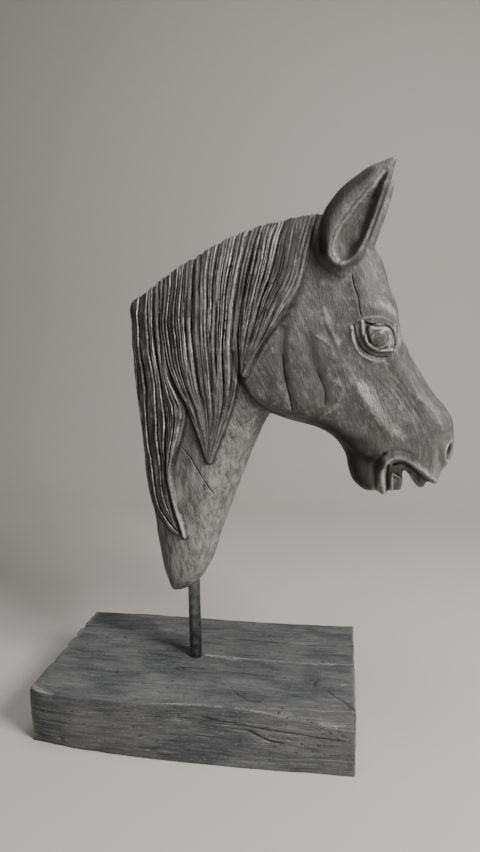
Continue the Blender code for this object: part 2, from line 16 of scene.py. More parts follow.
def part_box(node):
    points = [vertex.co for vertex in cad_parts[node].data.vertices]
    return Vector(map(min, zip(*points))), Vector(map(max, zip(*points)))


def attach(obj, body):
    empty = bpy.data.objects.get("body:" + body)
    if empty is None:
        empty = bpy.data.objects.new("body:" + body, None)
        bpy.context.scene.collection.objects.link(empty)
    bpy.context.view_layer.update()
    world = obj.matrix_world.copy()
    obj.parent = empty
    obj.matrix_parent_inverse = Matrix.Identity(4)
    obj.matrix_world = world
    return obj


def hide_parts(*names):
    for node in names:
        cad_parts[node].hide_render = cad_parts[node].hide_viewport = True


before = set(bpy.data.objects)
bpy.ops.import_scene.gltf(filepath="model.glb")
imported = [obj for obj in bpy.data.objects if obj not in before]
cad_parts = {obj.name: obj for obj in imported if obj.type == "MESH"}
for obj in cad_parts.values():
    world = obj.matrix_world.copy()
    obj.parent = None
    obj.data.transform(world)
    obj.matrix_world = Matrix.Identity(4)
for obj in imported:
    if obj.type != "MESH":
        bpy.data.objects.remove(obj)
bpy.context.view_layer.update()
START = time.time()
MILLIMETRES = 1000.0        # in a metre

# %% [markdown]
# ## The camera
# The view is an upright portrait from a little right of the block's middle, looking slightly
# down. A camera can be placed by eye, or worked out from the block's corners, whose real sizes are
# known. The second way is used, because every piece can then be checked against the photograph.

# %% Place the camera
IMAGE_HEIGHT = 852.0
FOCAL_PIXELS = 599.76
CAMERA_PLACE = Vector((0.1811, -0.7335, 0.5034))
PITCH, YAW, ROLL = 0.1560, -0.1727, -0.0149

camera = bpy.data.objects.new("camera", bpy.data.cameras.new("camera"))
camera.data.sensor_width = 36.0
camera.data.lens = FOCAL_PIXELS * camera.data.sensor_width / IMAGE_HEIGHT
ahead = Vector((math.sin(YAW) * math.cos(PITCH), math.cos(YAW) * math.cos(PITCH), -math.sin(PITCH)))
level = Vector((math.cos(YAW), -math.sin(YAW), 0.0))
upward = level.cross(ahead)
side = level * math.cos(ROLL) + upward * math.sin(ROLL)
top = upward * math.cos(ROLL) - level * math.sin(ROLL)
camera.matrix_world = Matrix.Translation(CAMERA_PLACE) @ Matrix((side, top, -ahead)).transposed().to_4x4()
bpy.context.scene.collection.objects.link(camera)
bpy.context.scene.camera = camera
print("lens", round(camera.data.lens, 2), "mm")

# %% [markdown]
# ## Small helpers
# A carved skin has hundreds of thousands of points, and a Python loop over them would take
# minutes. Numpy arrays of positions and normals move them all at once. The shapes themselves
# come from a curve, from modifiers and from bmesh operators.

# %% Helpers for objects and meshes
pieces = bpy.data.collections.new("dressed sculpture")
bpy.context.scene.collection.children.link(pieces)


def place_object(name, mesh):
    item = bpy.data.objects.new(name, mesh)
    pieces.objects.link(item)
    return item


def applied(item):
    """Replace an object's mesh by its modified mesh."""
    graph = bpy.context.evaluated_depsgraph_get()
    mesh = bpy.data.meshes.new_from_object(item.evaluated_get(graph))
    item.modifiers.clear()
    item.data = mesh
    return item


def remesh(item, voxel):
    """Rebuild the surface as one even skin of small squares."""
    skin = item.modifiers.new("Even skin", "REMESH")
    skin.mode = "VOXEL"
    skin.voxel_size = voxel
    return applied(item)


def read(owner, name, width):
    flat = np.empty(len(owner) * width, np.float32)
    owner.foreach_get(name, flat)
    return flat.reshape(-1, width).astype(float)


def positions(mesh):
    return read(mesh.vertices, "co", 3)


def normals(mesh):
    return read(mesh.vertex_normals, "vector", 3)


def set_positions(mesh, points):
    mesh.vertices.foreach_set("co", np.ascontiguousarray(points, np.float32).ravel())
    mesh.update()


def store(mesh, name, values):
    """Keep a number or a vector for each point, for the finish to read."""
    kind, field = ("FLOAT_VECTOR", "vector") if values.ndim == 2 else ("FLOAT", "value")
    layer = mesh.attributes.new(name, kind, "POINT")
    layer.data.foreach_set(field, np.ascontiguousarray(values, np.float32).ravel())


def new_mesh(name, work):
    """Turn a finished bmesh into a mesh, and free it."""
    mesh = bpy.data.meshes.new(name)
    work.to_mesh(mesh)
    work.free()
    return mesh


def shade_smooth(mesh):
    mesh.polygons.foreach_set("use_smooth", np.ones(len(mesh.polygons), bool))


def kept_inside(mesh, node):
    """Press whatever leaves the box of the CAD solid back into it."""
    low, high = (np.array(corner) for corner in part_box(node))
    points = positions(mesh)
    past = np.array([low - points.min(0), points.max(0) - high]) * MILLIMETRES
    print("past the box of", node, "by mm", past.round(2).tolist())
    set_positions(mesh, np.clip(points, low, high))


def smooth(item, rounds, factor=0.5):
    work = bmesh.new()
    work.from_mesh(item.data)
    for _ in range(rounds):
        bmesh.ops.smooth_vert(work, verts=work.verts, factor=factor,
                              use_axis_x=True, use_axis_y=True, use_axis_z=True)
    work.to_mesh(item.data)
    work.free()


# %% Helpers for lines on the drawing
def smooth_path(points, steps=8):
    """Sample a smooth curve through the points, ends included."""
    pts = np.array(points, float)
    if len(pts) == 2:
        return pts
    ends = [2 * pts[0] - pts[1], *pts, 2 * pts[-1] - pts[-2]]
    samples = []
    for before, start, end, after in zip(ends, ends[1:], ends[2:], ends[3:]):
        for t in np.arange(steps) / steps:
            samples.append(0.5 * (2 * start + (end - before) * t
                                  + (2 * before - 5 * start + 4 * end - after) * t ** 2
                                  + (3 * start - before - 3 * end + after) * t ** 3))
    return np.array([*samples, pts[-1]])


def closed_outline(stretches, steps=8):
    return np.concatenate([smooth_path(s, steps)[:-1] for s in stretches])


def ring_path(centre, radius):
    return [(centre[0] + radius * math.cos(a), centre[1] + radius * math.sin(a))
            for a in np.linspace(0, math.tau, 13)]


def guide_offset(xz, line):
    """Signed distance to a line, plus on its right as it runs down, and the share along it."""
    pieces_of_line = np.hypot(*np.diff(line, axis=0).T)
    before = np.concatenate([[0], np.cumsum(pieces_of_line)])
    best, turn, share = np.full(len(xz), 1e9), np.ones(len(xz)), np.zeros(len(xz))
    for start, end, length, done in zip(line, line[1:], pieces_of_line, before):
        run = end - start
        along = np.clip((xz - start) @ run / length ** 2, 0, 1)
        off = xz - start - along[:, None] * run
        gap = np.hypot(*off.T)
        nearer = gap < best
        best[nearer] = gap[nearer]
        turn[nearer] = np.where(run[0] * off[:, 1] < run[1] * off[:, 0], -1, 1)[nearer]
        share[nearer] = ((done + along * length) / before[-1])[nearer]
    return best * turn, share


def close_to(xz, line, reach):
    """Tell which points lie in the line's own box, grown by the reach."""
    low, high = line.min(0) - reach, line.max(0) + reach
    return np.flatnonzero(((xz > low) & (xz < high)).all(1))


def path_distance(xz, line, reach=1e9):
    gap = np.full(len(xz), float(reach))
    near = close_to(xz, line, reach)
    if len(near):
        gap[near] = np.minimum(np.abs(guide_offset(xz[near], line)[0]), reach)
    return gap


def tapered(share):
    """Full along most of a line, and nothing at its ends."""
    return np.clip(12 * share * (1 - share), 0, 1)


def inside(xz, outline):
    result = np.zeros(len(xz), bool)
    for start, end in zip(outline, np.roll(outline, -1, axis=0)):
        if start[1] == end[1]:
            continue
        spans = (start[1] > xz[:, 1]) != (end[1] > xz[:, 1])
        crossing = start[0] + (xz[:, 1] - start[1]) / (end[1] - start[1]) * (end[0] - start[0])
        result ^= spans & (xz[:, 0] < crossing)
    return result


def signed_distance(xz, outline, reach=1e9):
    """Distance to a closed outline, positive inside it."""
    gap = path_distance(xz, np.concatenate([outline, outline[:1]]), reach)
    return np.where(inside(xz, outline), gap, -gap)


def step(value, softness):
    """Rise smoothly from 0 to 1 as the value goes from minus to plus the softness."""
    t = np.clip(0.5 + 0.5 * value / softness, 0, 1)
    return t * t * (3 - 2 * t)


# %% Helpers for unevenness
WAVES_PER_LENGTH, WAVE_GAIN = 3, 1.6
NOISE_CELLS = 512


def waves(u, v, seed, lengths):
    """Gentle made-up unevenness, between about -1 and 1: a few crossing waves."""
    dice = np.random.default_rng(seed)
    total = np.zeros(len(u))
    for length in lengths:
        for _ in range(WAVES_PER_LENGTH):
            angle, phase = dice.uniform(0, math.tau, 2)
            total += np.sin((u * math.cos(angle) + v * math.sin(angle)) * math.tau / length + phase)
    return total / (WAVES_PER_LENGTH * len(lengths)) * WAVE_GAIN


def noise(u, v, seed):
    """Smooth made-up unevenness from 0 to 1, one cell wide for each unit."""
    table = np.random.default_rng(seed).random((NOISE_CELLS, NOISE_CELLS))
    i, j = np.floor(u).astype(int), np.floor(v).astype(int)
    s, t = u - i, v - j
    s, t = s * s * (3 - 2 * s), t * t * (3 - 2 * t)
    here, beyond = i % NOISE_CELLS, (i + 1) % NOISE_CELLS
    rows = [table[here, row] * (1 - s) + table[beyond, row] * s
            for row in (j % NOISE_CELLS, (j + 1) % NOISE_CELLS)]
    return rows[0] * (1 - t) + rows[1] * t


# %% [markdown]
# ## The drawing of the carving
# A carver first draws the head on the side of a plank and saws it out. The same is done here:
# the profile, the ears and every lock of the mane are drawn in millimetres on the XZ plane, at
# the places that the photograph gives. The alternative, sculpting by hand, can't be repeated.

# %% Draw the profile
NECK_FRONT = [(-38, 164), (-27, 167), (-12, 173), (1, 187), (16, 214), (27, 248), (40, 282),
              (54, 318), (67, 352), (80, 383), (92, 404)]
JAW = [(92, 404), (115, 396), (149, 387), (170, 374), (183, 356), (188, 336), (195, 320),
       (208, 310), (223, 309)]
LOWER_LIP = [(223, 309), (229, 304), (234, 306)]
LOWER_TEETH = [(234, 306), (237, 310)], [(237, 310), (251, 309)], [(251, 309), (253, 323)]
MOUTH_WEDGE = [(253, 323), (251, 340)], [(251, 340), (259, 331)]
UPPER_TOOTH = [(259, 331), (265, 321), (272, 314), (278, 316), (281, 324)]
UPPER_LIP = [(281, 324), (287, 320), (294, 323)]
NOSE = [(294, 323), (296, 335), (304, 346), (309, 358), (310, 372), (309, 386), (307, 400),
        (298, 414), (285, 429), (268, 456), (254, 480), (245, 506), (241, 530), (232, 553),
        (224, 580), (212, 601)]
POLL = [(212, 601), (202, 618), (182, 631), (156, 637)]
CREST = [(156, 637), (128, 633), (105, 630), (78, 624), (57, 616), (34, 607), (7, 592),
         (-29, 574), (-61, 550), (-79, 539)]
BACK = [(-79, 539), (-81, 525), (-82, 501), (-79, 465), (-73, 395), (-69, 345), (-65, 300),
        (-60, 262), (-56, 225), (-50, 192), (-44, 173), (-38, 164)]
PROFILE = closed_outline([NECK_FRONT, JAW, LOWER_LIP, *LOWER_TEETH, *MOUTH_WEDGE, UPPER_TOOTH,
                          UPPER_LIP, NOSE, POLL, CREST, BACK])
print("profile", len(PROFILE), "points,", np.ptp(PROFILE, 0).round(), "mm")

# %% [markdown]
# The drawing says nothing of the thickness. Landmarks give it: each has its place, half the
# thickness of the wood there, and how wide the rounding of the edge is. Between them the values
# are blended, so the cheek swells and the muzzle narrows without a seam.

# %% Give the thickness at landmarks
LANDMARKS = np.array([
    (-38, 172, 20, 16), (-30, 200, 27, 24), (-20, 250, 33, 34), (0, 310, 38, 42),
    (10, 380, 41, 55), (15, 450, 43, 64), (10, 520, 40, 62), (-45, 330, 33, 30),
    (-55, 420, 34, 40), (-58, 500, 31, 46), (-30, 560, 27, 46), (40, 600, 27, 44),
    (100, 620, 30, 40), (150, 618, 36, 34), (75, 470, 42, 50), (60, 400, 36, 26),
    (50, 560, 38, 60), (110, 560, 42, 56), (165, 585, 42, 46), (205, 575, 38, 30),
    (195, 535, 45, 38), (222, 500, 44, 26), (120, 470, 45, 46), (110, 425, 40, 24),
    (160, 430, 41, 34), (150, 500, 45, 60), (200, 450, 38, 44), (240, 465, 31, 24),
    (225, 415, 33, 44), (190, 385, 30, 26), (265, 425, 27, 22), (245, 385, 31, 42),
    (288, 392, 29, 22), (290, 360, 34, 24), (265, 350, 32, 24), (285, 332, 27, 12),
    (235, 345, 31, 20), (205, 350, 27, 18), (205, 326, 24, 14), (228, 318, 27, 8),
    (244, 320, 22, 6), (271, 322, 22, 7)], float)
LANDMARK_REACH = 24.0
print("landmarks", len(LANDMARKS))


def blended_landmarks(xz):
    gap = ((xz[:, None, :] - LANDMARKS[None, :, :2]) ** 2).sum(2)
    weight = np.exp(-gap / (2 * LANDMARK_REACH ** 2)) + 1e-9 / (gap + 1)
    weight /= weight.sum(1, keepdims=True)
    return weight @ LANDMARKS[:, 2], weight @ LANDMARKS[:, 3]


# %% [markdown]
# ## Sawing and rounding the plank
# The outline is a flat curve that Blender fills and extrudes, and a voxel remesh gives it an
# even skin. Then each point's depth is set by its distance from the outline, as a quarter of an
# ellipse, which is what a spokeshave leaves on the edge of a plank.

# %% Saw and round the head
PLANK_HALF = 30.0
PLANK_FACE = 0.85
PLANK_VOXEL = 2.4


def sawn_plank(name, outline):
    curve = bpy.data.curves.new(name, "CURVE")
    curve.dimensions = "2D"
    curve.fill_mode = "BOTH"
    curve.extrude = PLANK_HALF
    line = curve.splines.new("POLY")
    line.points.add(len(outline) - 1)
    for point, (x, z) in zip(line.points, outline):
        point.co = (x, z, 0, 1)
    line.use_cyclic_u = True
    item = place_object(name + " drawn", curve)
    graph = bpy.context.evaluated_depsgraph_get()
    mesh = bpy.data.meshes.new_from_object(item.evaluated_get(graph))
    bpy.data.objects.remove(item)
    mesh.transform(Matrix.Rotation(math.pi / 2, 4, "X"))
    work = bmesh.new()
    work.from_mesh(mesh)
    bmesh.ops.remove_doubles(work, verts=work.verts, dist=0.01)
    work.to_mesh(mesh)
    work.free()
    return remesh(place_object(name, mesh), PLANK_VOXEL)


def round_over(points, outline, half, edge):
    depth = np.clip(signed_distance(points[:, [0, 2]], outline), 0, None)
    rim = np.clip(1 - depth / edge, 0, 1)
    share = np.clip(points[:, 1] / (PLANK_FACE * PLANK_HALF), -1, 1)
    return share, half * np.sqrt(1 - rim ** 2)


CHEEK_EDGE = [(150, 590), (136, 560), (118, 522), (90, 485), (68, 450), (70, 434), (79, 421),
              (92, 412), (112, 405)]
FACE_CORNERS = [(200, 360), (400, 260), (400, 700), (200, 640)]
CHEEK_STEP, CHEEK_SOFTNESS = 7.0, 4.0
CHEEK_TOP, CHEEK_FADE = 540.0, 50.0
MOUTH_INSIDE = np.array([(230, 300), (231, 330), (235, 345), (243, 351), (252, 350), (268, 338),
                         (284, 324), (288, 300)], float)
MOUTH_RECESS, MOUTH_SOFTNESS = 9.0, 1.6

head = sawn_plank("head", PROFILE)
points = positions(head.data)
xz = points[:, [0, 2]]
half, edge = blended_landmarks(xz)
share, thickness = round_over(points, PROFILE, half, edge)
face = step(signed_distance(xz, np.concatenate([smooth_path(CHEEK_EDGE), FACE_CORNERS])),
            CHEEK_SOFTNESS)
faded = 1 - step(xz[:, 1] - CHEEK_TOP, CHEEK_FADE)
thickness += thickness / half * CHEEK_STEP * (face - 0.5) * faded
mouth = step(signed_distance(xz, MOUTH_INSIDE), MOUTH_SOFTNESS)
thickness = np.maximum(thickness - MOUTH_RECESS * mouth * thickness / half, 0)
points[:, 1] = share * thickness
set_positions(head.data, points)
print("rough head", len(points), "points", round(time.time() - START, 1), "s")

# %% [markdown]
# ## The ears
# Each ear is a leaf, sawn and rounded in the same way, with its outer face scooped hollow. The
# near ear stands a little behind the far one, as the photograph shows. They could be booleaned
# on; a voxel remesh of head and ears together leaves a softer root, like one piece of wood.

# %% Saw the ears and fuse them on
EAR_BACK = [(176, 566), (158, 580), (151, 606), (156, 630), (171, 651), (191, 667),
            (211, 678), (235, 685)]
EAR_FRONT = [(235, 685), (229, 661), (222, 639), (214, 617), (206, 596), (198, 580), (176, 566)]
EAR_HOLLOW = [(166, 601), (166, 586), (175, 577), (190, 583), (203, 606), (213, 634), (223, 670),
              (206, 654), (189, 636), (173, 615)]
EAR_OUTLINE = closed_outline([EAR_BACK, EAR_FRONT])
EAR_HOLLOW_OUTLINE = closed_outline([EAR_HOLLOW + EAR_HOLLOW[:1]])
EAR_HALF, EAR_TIP_SHARE, EAR_EDGE = 14.0, 0.45, 15.0
EAR_HOLLOW_DEPTH, EAR_HOLLOW_EDGE, EAR_HOLLOW_MOST = 13.5, 3.6, 1.5
EAR_OUT, EAR_SPLAY = 38.0, 0.08
FAR_EAR_SHIFT = (6.0, 0.0, -3.0)
SKIN_VOXEL = 1.9
SKIN_ROUNDS = 3


def rough_ear(name, out):
    ear = sawn_plank(name, EAR_OUTLINE)
    points = positions(ear.data)
    xz = points[:, [0, 2]]
    foot, tip = EAR_BACK[0][1], EAR_BACK[-1][1]
    climb = (xz[:, 1] - foot) / (tip - foot)
    share, thickness = round_over(points, EAR_OUTLINE, EAR_HALF * (1 - (1 - EAR_TIP_SHARE) * climb),
                                  EAR_EDGE)
    scoop = EAR_HOLLOW_DEPTH * step(signed_distance(xz, EAR_HOLLOW_OUTLINE) - EAR_HOLLOW_EDGE / 2,
                                    EAR_HOLLOW_EDGE)
    scoop = np.minimum(scoop, EAR_HOLLOW_MOST * thickness)
    points[:, 1] = share * thickness - np.where(share * out > 0, out * scoop * abs(share), 0)
    points[:, 1] += out * (EAR_OUT + EAR_SPLAY * (points[:, 2] - foot))
    if out > 0:
        points += FAR_EAR_SHIFT
    set_positions(ear.data, points)
    return ear


work = bmesh.new()
for item in (head, rough_ear("near ear", -1), rough_ear("far ear", 1)):
    work.from_mesh(item.data)
    bpy.data.objects.remove(item)
carving = remesh(place_object("carved_horse_head", new_mesh("carving", work)), SKIN_VOXEL)
smooth(carving, SKIN_ROUNDS)
finer = carving.modifiers.new("Finer skin", "SUBSURF")
finer.levels = finer.render_levels = 1
applied(carving)
print("fused skin", len(carving.data.vertices), "points", round(time.time() - START, 1), "s")

# %% [markdown]
# ## The mane
# The mane is three locks. Each is a fan of guide lines that run from the crest to the tip of
# the lock. Every point of the skin finds its place between two guides, and from that the
# groove that it is nearest to. Grooves are laid unevenly, wander a little, start late or die
# out early, and give way where the lock narrows, which is how a V-gouge leaves them. A texture
# could fake them, but the light has to catch real ridges.

# %% Draw the locks
LOCK_BACK = [
    [(-84, 560), (-76, 517), (-74, 448), (-68, 387), (-62, 337), (-54, 290), (-36, 262), (-14, 248)],
    [(-60, 580), (-54, 542), (-52, 472), (-48, 400), (-44, 344), (-38, 300), (-26, 270), (-14, 248)],
    [(-48, 590), (-42, 553), (-40, 489), (-33, 436), (-26, 400), (-32, 357), (-33, 319), (-14, 248)],
    [(-40, 595), (-35, 556), (-33, 501), (-25, 454), (-9, 416), (-14, 382), (-28, 341), (-27, 307),
     (-14, 249)],
]
LOCK_MIDDLE = [
    [(-40, 598), (-33, 556), (-33, 513), (-26, 469), (-8, 424), (7, 388), (19, 347)],
    [(-6, 620), (-1, 581), (-3, 518), (2, 460), (12, 412), (17, 376), (20, 347)],
    [(28, 636), (28, 597), (23, 529), (23, 465), (25, 412), (23, 376), (20, 347)],
    [(64, 648), (59, 611), (49, 551), (43, 483), (40, 424), (31, 382), (21, 347)],
    [(90, 655), (80, 612), (67, 561), (58, 505), (57, 454), (45, 406), (22, 347)],
]
LOCK_CHEEK = [
    [(92, 655), (82, 612), (70, 561), (62, 505), (63, 455)],
    [(112, 658), (104, 620), (91, 572), (77, 516), (65, 453)],
    [(134, 662), (125, 622), (114, 576), (95, 527), (67, 452)],
    [(156, 664), (146, 622), (138, 592), (129, 556), (114, 528), (93, 496), (68, 452)],
]
# Each lock: its guides, how many strands, how far it stands out, its own dice, and how much its
# front strands are smoothed away near the ear.
LOCKS = [(LOCK_BACK, 7, 5.5, 3, 0.0), (LOCK_MIDDLE, 18, 5.0, 5, 0.0), (LOCK_CHEEK, 10, 3.5, 8, 0.9)]
CALM_ACROSS, CALM_ALONG = (0.60, 0.06), (0.62, 0.08)     # where that starts, and how softly
LOCK_EDGE = 2.4


def lock_field(xz, guides):
    """Share across the lock, share along it, distance off it, and its width."""
    found = [guide_offset(xz, smooth_path(g, 5)) for g in guides]
    first, last = found[0], found[-1]
    before = first[0] < 0
    across = np.where(before, 0.0, 1.0)
    along = np.where(before, first[1], last[1])
    gap = np.where(before, -first[0], np.abs(last[0]))
    width = np.abs(first[0]) + np.abs(last[0])
    for i, (left, right) in enumerate(zip(found, found[1:])):
        between = (left[0] >= 0) & (right[0] < 0)
        room = left[0] - right[0] + 1e-9
        part = left[0] / room
        across = np.where(between, (i + part) / (len(guides) - 1), across)
        along = np.where(between, left[1] * (1 - part) + right[1] * part, along)
        past_tip = (left[1] >= 1) & (right[1] >= 1)
        gap = np.where(between, np.where(past_tip, np.minimum(left[0], -right[0]), 0), gap)
        width = np.where(between, room * (len(guides) - 1), width)
    return across, along, gap, width


print("locks", len(LOCKS), "strands", sum(lock[1] for lock in LOCKS))

# %% [markdown]
# No two strands are alike. A seeded random generator gives each its width, where its groove
# starts and ends and how deep it is cut, so the mane is uneven and yet the same on every run.

# %% Give the strands
STRAND_ROOM = (0.5, 1.6)                    # the narrowest and the widest strand, as shares
STRAND_LENGTH = 300.0
STRAND_CROWN, STRAND_UNEVEN = 1.0, 1.0
DRIFT, DRIFT_LENGTHS, DRIFT_WIDTH = 1.6, (120, 60), 10
# How far the grooves stray, cells to a strand, a shift of the noise and a cell's length.
STRAYS = [(0.50, 0.5, 40, 60), (0.07, 1.1, 80, 9)]
GROOVE_DEPTH, GROOVE_HALF = 3.8, (0.8, 1.6)
GROOVE_STRENGTH = (0.65, 1.15)
FROM_CREST, LATE_START = 0.7, (0.05, 0.4)   # the share of grooves that start at the crest
TO_TIP, EARLY_END = 0.6, (0.5, 0.92)        # and the share that run to the tip
GROOVE_FADE = 0.05
NARROW, NARROW_FADE = (2.4, 4.2), 1.5       # strand widths below which grooves give way
PATCHY, PATCH_LENGTH = (0.55, 0.75), 17     # the least of a groove's depth, and what noise adds
RISE_NOISE, RISE_LENGTH = 1.2, 20
UNDERCUT_DEPTH, UNDERCUT_AT, UNDERCUT_HALF = 0.5, 4.0, 1.4
NICK_DEPTH, NICK_HALF, NICK_LENGTH = 1.3, 0.9, 24
NICK_GAIN, NICK_RARE = 2.6, 1.1
LOCK_SHIFT, ALONG_UNITS = 40, 100           # these keep the finish of the locks apart


def strand_field(xz, guides, count, seed, calm):
    """Where each point lies among the strands of its lock, and how deep the groove by it is."""
    dice = np.random.default_rng(seed)
    across, along, gap, width = lock_field(xz, guides)
    room = dice.uniform(*STRAND_ROOM, count)
    marks = np.concatenate([[0], np.cumsum(room)]) / room.sum()
    wander = DRIFT * waves(xz[:, 0], xz[:, 1], seed, DRIFT_LENGTHS) / np.maximum(width, DRIFT_WIDTH)
    placed = np.clip(across + wander * np.clip(4 * across * (1 - across), 0, 1), 0, 1)
    phase = np.interp(placed, marks, np.arange(count + 1))
    run = along * STRAND_LENGTH
    for number, (stray, cells, shift, cell) in enumerate(STRAYS):
        off = stray * (noise(phase * cells + shift, run / cell, seed + number) - 0.5)
        phase += off * (placed > 0) * (placed < 1)
    pitch = np.interp(placed, (marks[:-1] + marks[1:]) / 2, room / room.sum()) * width
    start = np.where(dice.random(count + 1) < FROM_CREST, -1.0, dice.uniform(*LATE_START, count + 1))
    end = np.where(dice.random(count + 1) < TO_TIP, 2.0, dice.uniform(*EARLY_END, count + 1))
    strong = dice.uniform(*GROOVE_STRENGTH, count + 1)
    narrow = np.array(NARROW)[np.arange(count + 1) % 2]
    nearest = np.clip(np.round(phase).astype(int), 0, count)
    depth = strong[nearest] * step(along - start[nearest], GROOVE_FADE)
    depth *= step(end[nearest] - along, GROOVE_FADE)
    depth *= np.clip((pitch - narrow[nearest]) / NARROW_FADE, 0, 1)
    depth *= PATCHY[0] + PATCHY[1] * noise(nearest * 7.3, run / PATCH_LENGTH, seed + 2)
    calmed = step(across - CALM_ACROSS[0], CALM_ACROSS[1])
    depth *= 1 - calm * calmed * step(CALM_ALONG[0] - along, CALM_ALONG[1])
    rise = np.interp(phase, np.arange(count) + 0.5, dice.uniform(-1, 1, count))
    rise += RISE_NOISE * (noise(phase + 20, run / RISE_LENGTH, seed + 3) - 0.5)
    broad = dice.uniform(*GROOVE_HALF, count + 1)[nearest]
    from_middle = np.abs(phase - np.floor(phase) - 0.5) * pitch / NICK_HALF
    chance = noise(np.floor(phase) * 5.1, run / NICK_LENGTH, seed + 4)
    nick = np.exp(-from_middle ** 2) * np.clip(NICK_GAIN * chance - NICK_RARE, 0, 1)
    return phase, pitch, depth, broad, rise - nick * NICK_DEPTH, along, gap


def mane_field(xz):
    """Body and strand heights, and the strand attributes for the finish."""
    cover, body, strands, groove = (np.zeros(len(xz)) for _ in range(4))
    lay = np.zeros((len(xz), 3))
    edge = np.full(len(xz), 99.0)
    for number, (guides, count, stand, seed, calm) in enumerate(LOCKS):
        phase, pitch, depth, half, rise, along, gap = strand_field(xz, guides, count, seed, calm)
        on_lock = 1 - step(gap - LOCK_EDGE / 2, LOCK_EDGE / 2)
        off = np.abs(phase - np.round(phase))
        trough = np.exp(-(off * pitch / half) ** 2) * depth
        crown = STRAND_CROWN * (1 - (2 * off) ** 2) + STRAND_UNEVEN * rise
        narrowing = np.clip((1 - along) * 4, 0.2, 1)
        ours = on_lock > cover
        cover = np.where(ours, on_lock, cover)
        body = np.where(ours, stand * on_lock, body)
        shape = (crown * narrowing - GROOVE_DEPTH * trough) * on_lock
        strands = np.where(ours, shape, strands)
        groove = np.where(ours, depth * on_lock, groove)
        place = np.stack([phase + LOCK_SHIFT * number, along * ALONG_UNITS, pitch / half], 1)
        lay[ours] = place[ours]
        edge = np.minimum(edge, gap)
    undercut = UNDERCUT_DEPTH * np.exp(-((edge - UNDERCUT_AT) / UNDERCUT_HALF) ** 2)
    return body - undercut, strands, groove, lay, cover, undercut / UNDERCUT_DEPTH


# %% [markdown]
# ## The face
# Each stroke of the gouge is a line with a width and a height: minus is cut in, plus is left
# standing. Broad swellings are rounded forms. The eye is a dome between two lids.

# %% Draw the strokes
# Lines that are both cut and rubbed.
EAR_ROOT = [(156, 556), (170, 553), (186, 562)]
TEMPLE = [(158, 528), (163, 511), (174, 489)]
UPPER_CHEEK = [(152, 497), (166, 486), (169, 473)]
LOWER_CHEEK = [(171, 447), (179, 436), (172, 417), (156, 404)]
BACK_LOCK_LIP = [(-20, 411), (-17, 397), (-26, 362), (-29, 332), (-25, 298), (-13, 252)]
TOOTH_EDGES = [(239, 333), (239, 322), (240, 311)], [(240, 334), (249, 326), (253, 311)]
EYE_RING = ring_path((217, 495), 8.5)

STROKES = [
    ([(114, 504), (113, 470), (116, 440), (123, 418)], 5.0, -2.0),
    ([(138, 498), (148, 468), (156, 446), (160, 423)], 5.5, -1.8),
    ([(176, 466), (192, 442), (212, 418), (236, 394)], 10.0, 2.0),
    ([(226, 466), (244, 436), (262, 408)], 10.0, -1.8),
    ([(198, 532), (214, 530), (230, 522), (238, 508)], 8.0, 2.2),
    ([(196, 514), (206, 517), (217, 517), (228, 513), (237, 504)], 2.0, 0.7),
    ([(200, 512), (202, 497), (208, 487), (218, 481), (232, 481)], 2.0, 2.4),
    ([(191, 509), (195, 493), (203, 481), (215, 474), (228, 473)], 1.4, -1.2),
    ([(188, 507), (191, 491), (199, 477), (212, 470), (226, 469)], 1.3, 0.9),
    ([(204, 511), (214, 508), (225, 507), (233, 500), (237, 487)], 1.4, -2.2),
    ([(237, 506), (239, 494), (236, 483)], 1.8, -3.0),
    ([(205, 508), (206, 499), (208, 491)], 1.8, -2.0),
    (EYE_RING, 0.9, -0.5),
    ([(221, 311), (218, 332), (220, 349), (228, 360)], 2.8, -2.6),
    ([(228, 360), (240, 366), (256, 363)], 2.4, -0.9),
    ([(230, 309), (227, 332), (231, 349), (241, 356), (254, 354), (272, 342), (291, 326)], 2.6, 2.0),
    ([(234, 346), (234, 330), (235, 310)], 1.5, -3.0),
    ([(241, 346), (252, 347), (266, 338), (282, 324)], 1.6, -2.6),
    (TOOTH_EDGES[0], 1.4, 1.8),
    (TOOTH_EDGES[1], 1.4, 1.8),
    ([(262, 334), (269, 325), (276, 317)], 1.6, 1.4),
    ([(304, 376), (298, 370), (297, 360), (302, 350)], 2.6, 1.8),
    ([(291, 385), (287, 370), (290, 352)], 4.0, -1.4),
    ([(53, 478), (57, 455), (70, 432), (88, 414), (110, 404)], 3.2, -2.6),
    (BACK_LOCK_LIP, 3.6, 2.2),
    ([(-38, 356), (-36, 332), (-31, 305), (-23, 268), (-17, 246)], 2.2, -2.4),
    (EAR_ROOT, 5.0, 1.4),
    (TEMPLE, 3.0, 1.0),
    (UPPER_CHEEK, 3.0, 0.8),
    (LOWER_CHEEK, 3.4, 1.2),
    ([(226, 448), (242, 430), (262, 402)], 1.1, -0.4),
    ([(232, 450), (248, 431), (268, 402)], 1.1, -0.4),
    ([(219, 446), (236, 428), (256, 401)], 1.1, -0.35),
    ([(238, 452), (254, 432), (273, 404)], 1.1, -0.35),
    ([(265, 426), (279, 414), (288, 398)], 3.0, 1.0),
]
MOUNDS = [
    (112, 466, 52, 48, 0, 5.0), (214, 502, 32, 24, -20, 4.0), (182, 548, 22, 14, -60, -2.5),
    (206, 388, 24, 20, 0, -3.2), (262, 376, 26, 20, -30, 1.5), (206, 330, 15, 13, 0, 2.2),
    (150, 552, 26, 34, 0, -2.5), (40, 390, 22, 60, -20, -2.0),
]
EYE, EYE_RADIUS, EYE_HEIGHT = (217, 496), 14.5, 5.5
EYE_SOCKET_HALF, EYE_SOCKET_DEPTH = 1.2, 0.4
NOSTRIL, NOSTRIL_RADIUS, NOSTRIL_DEPTH = (301.5, -23, 363), 6.8, 9.0
NOSTRIL_SHAPE = (1.0, 0.8, 0.72)
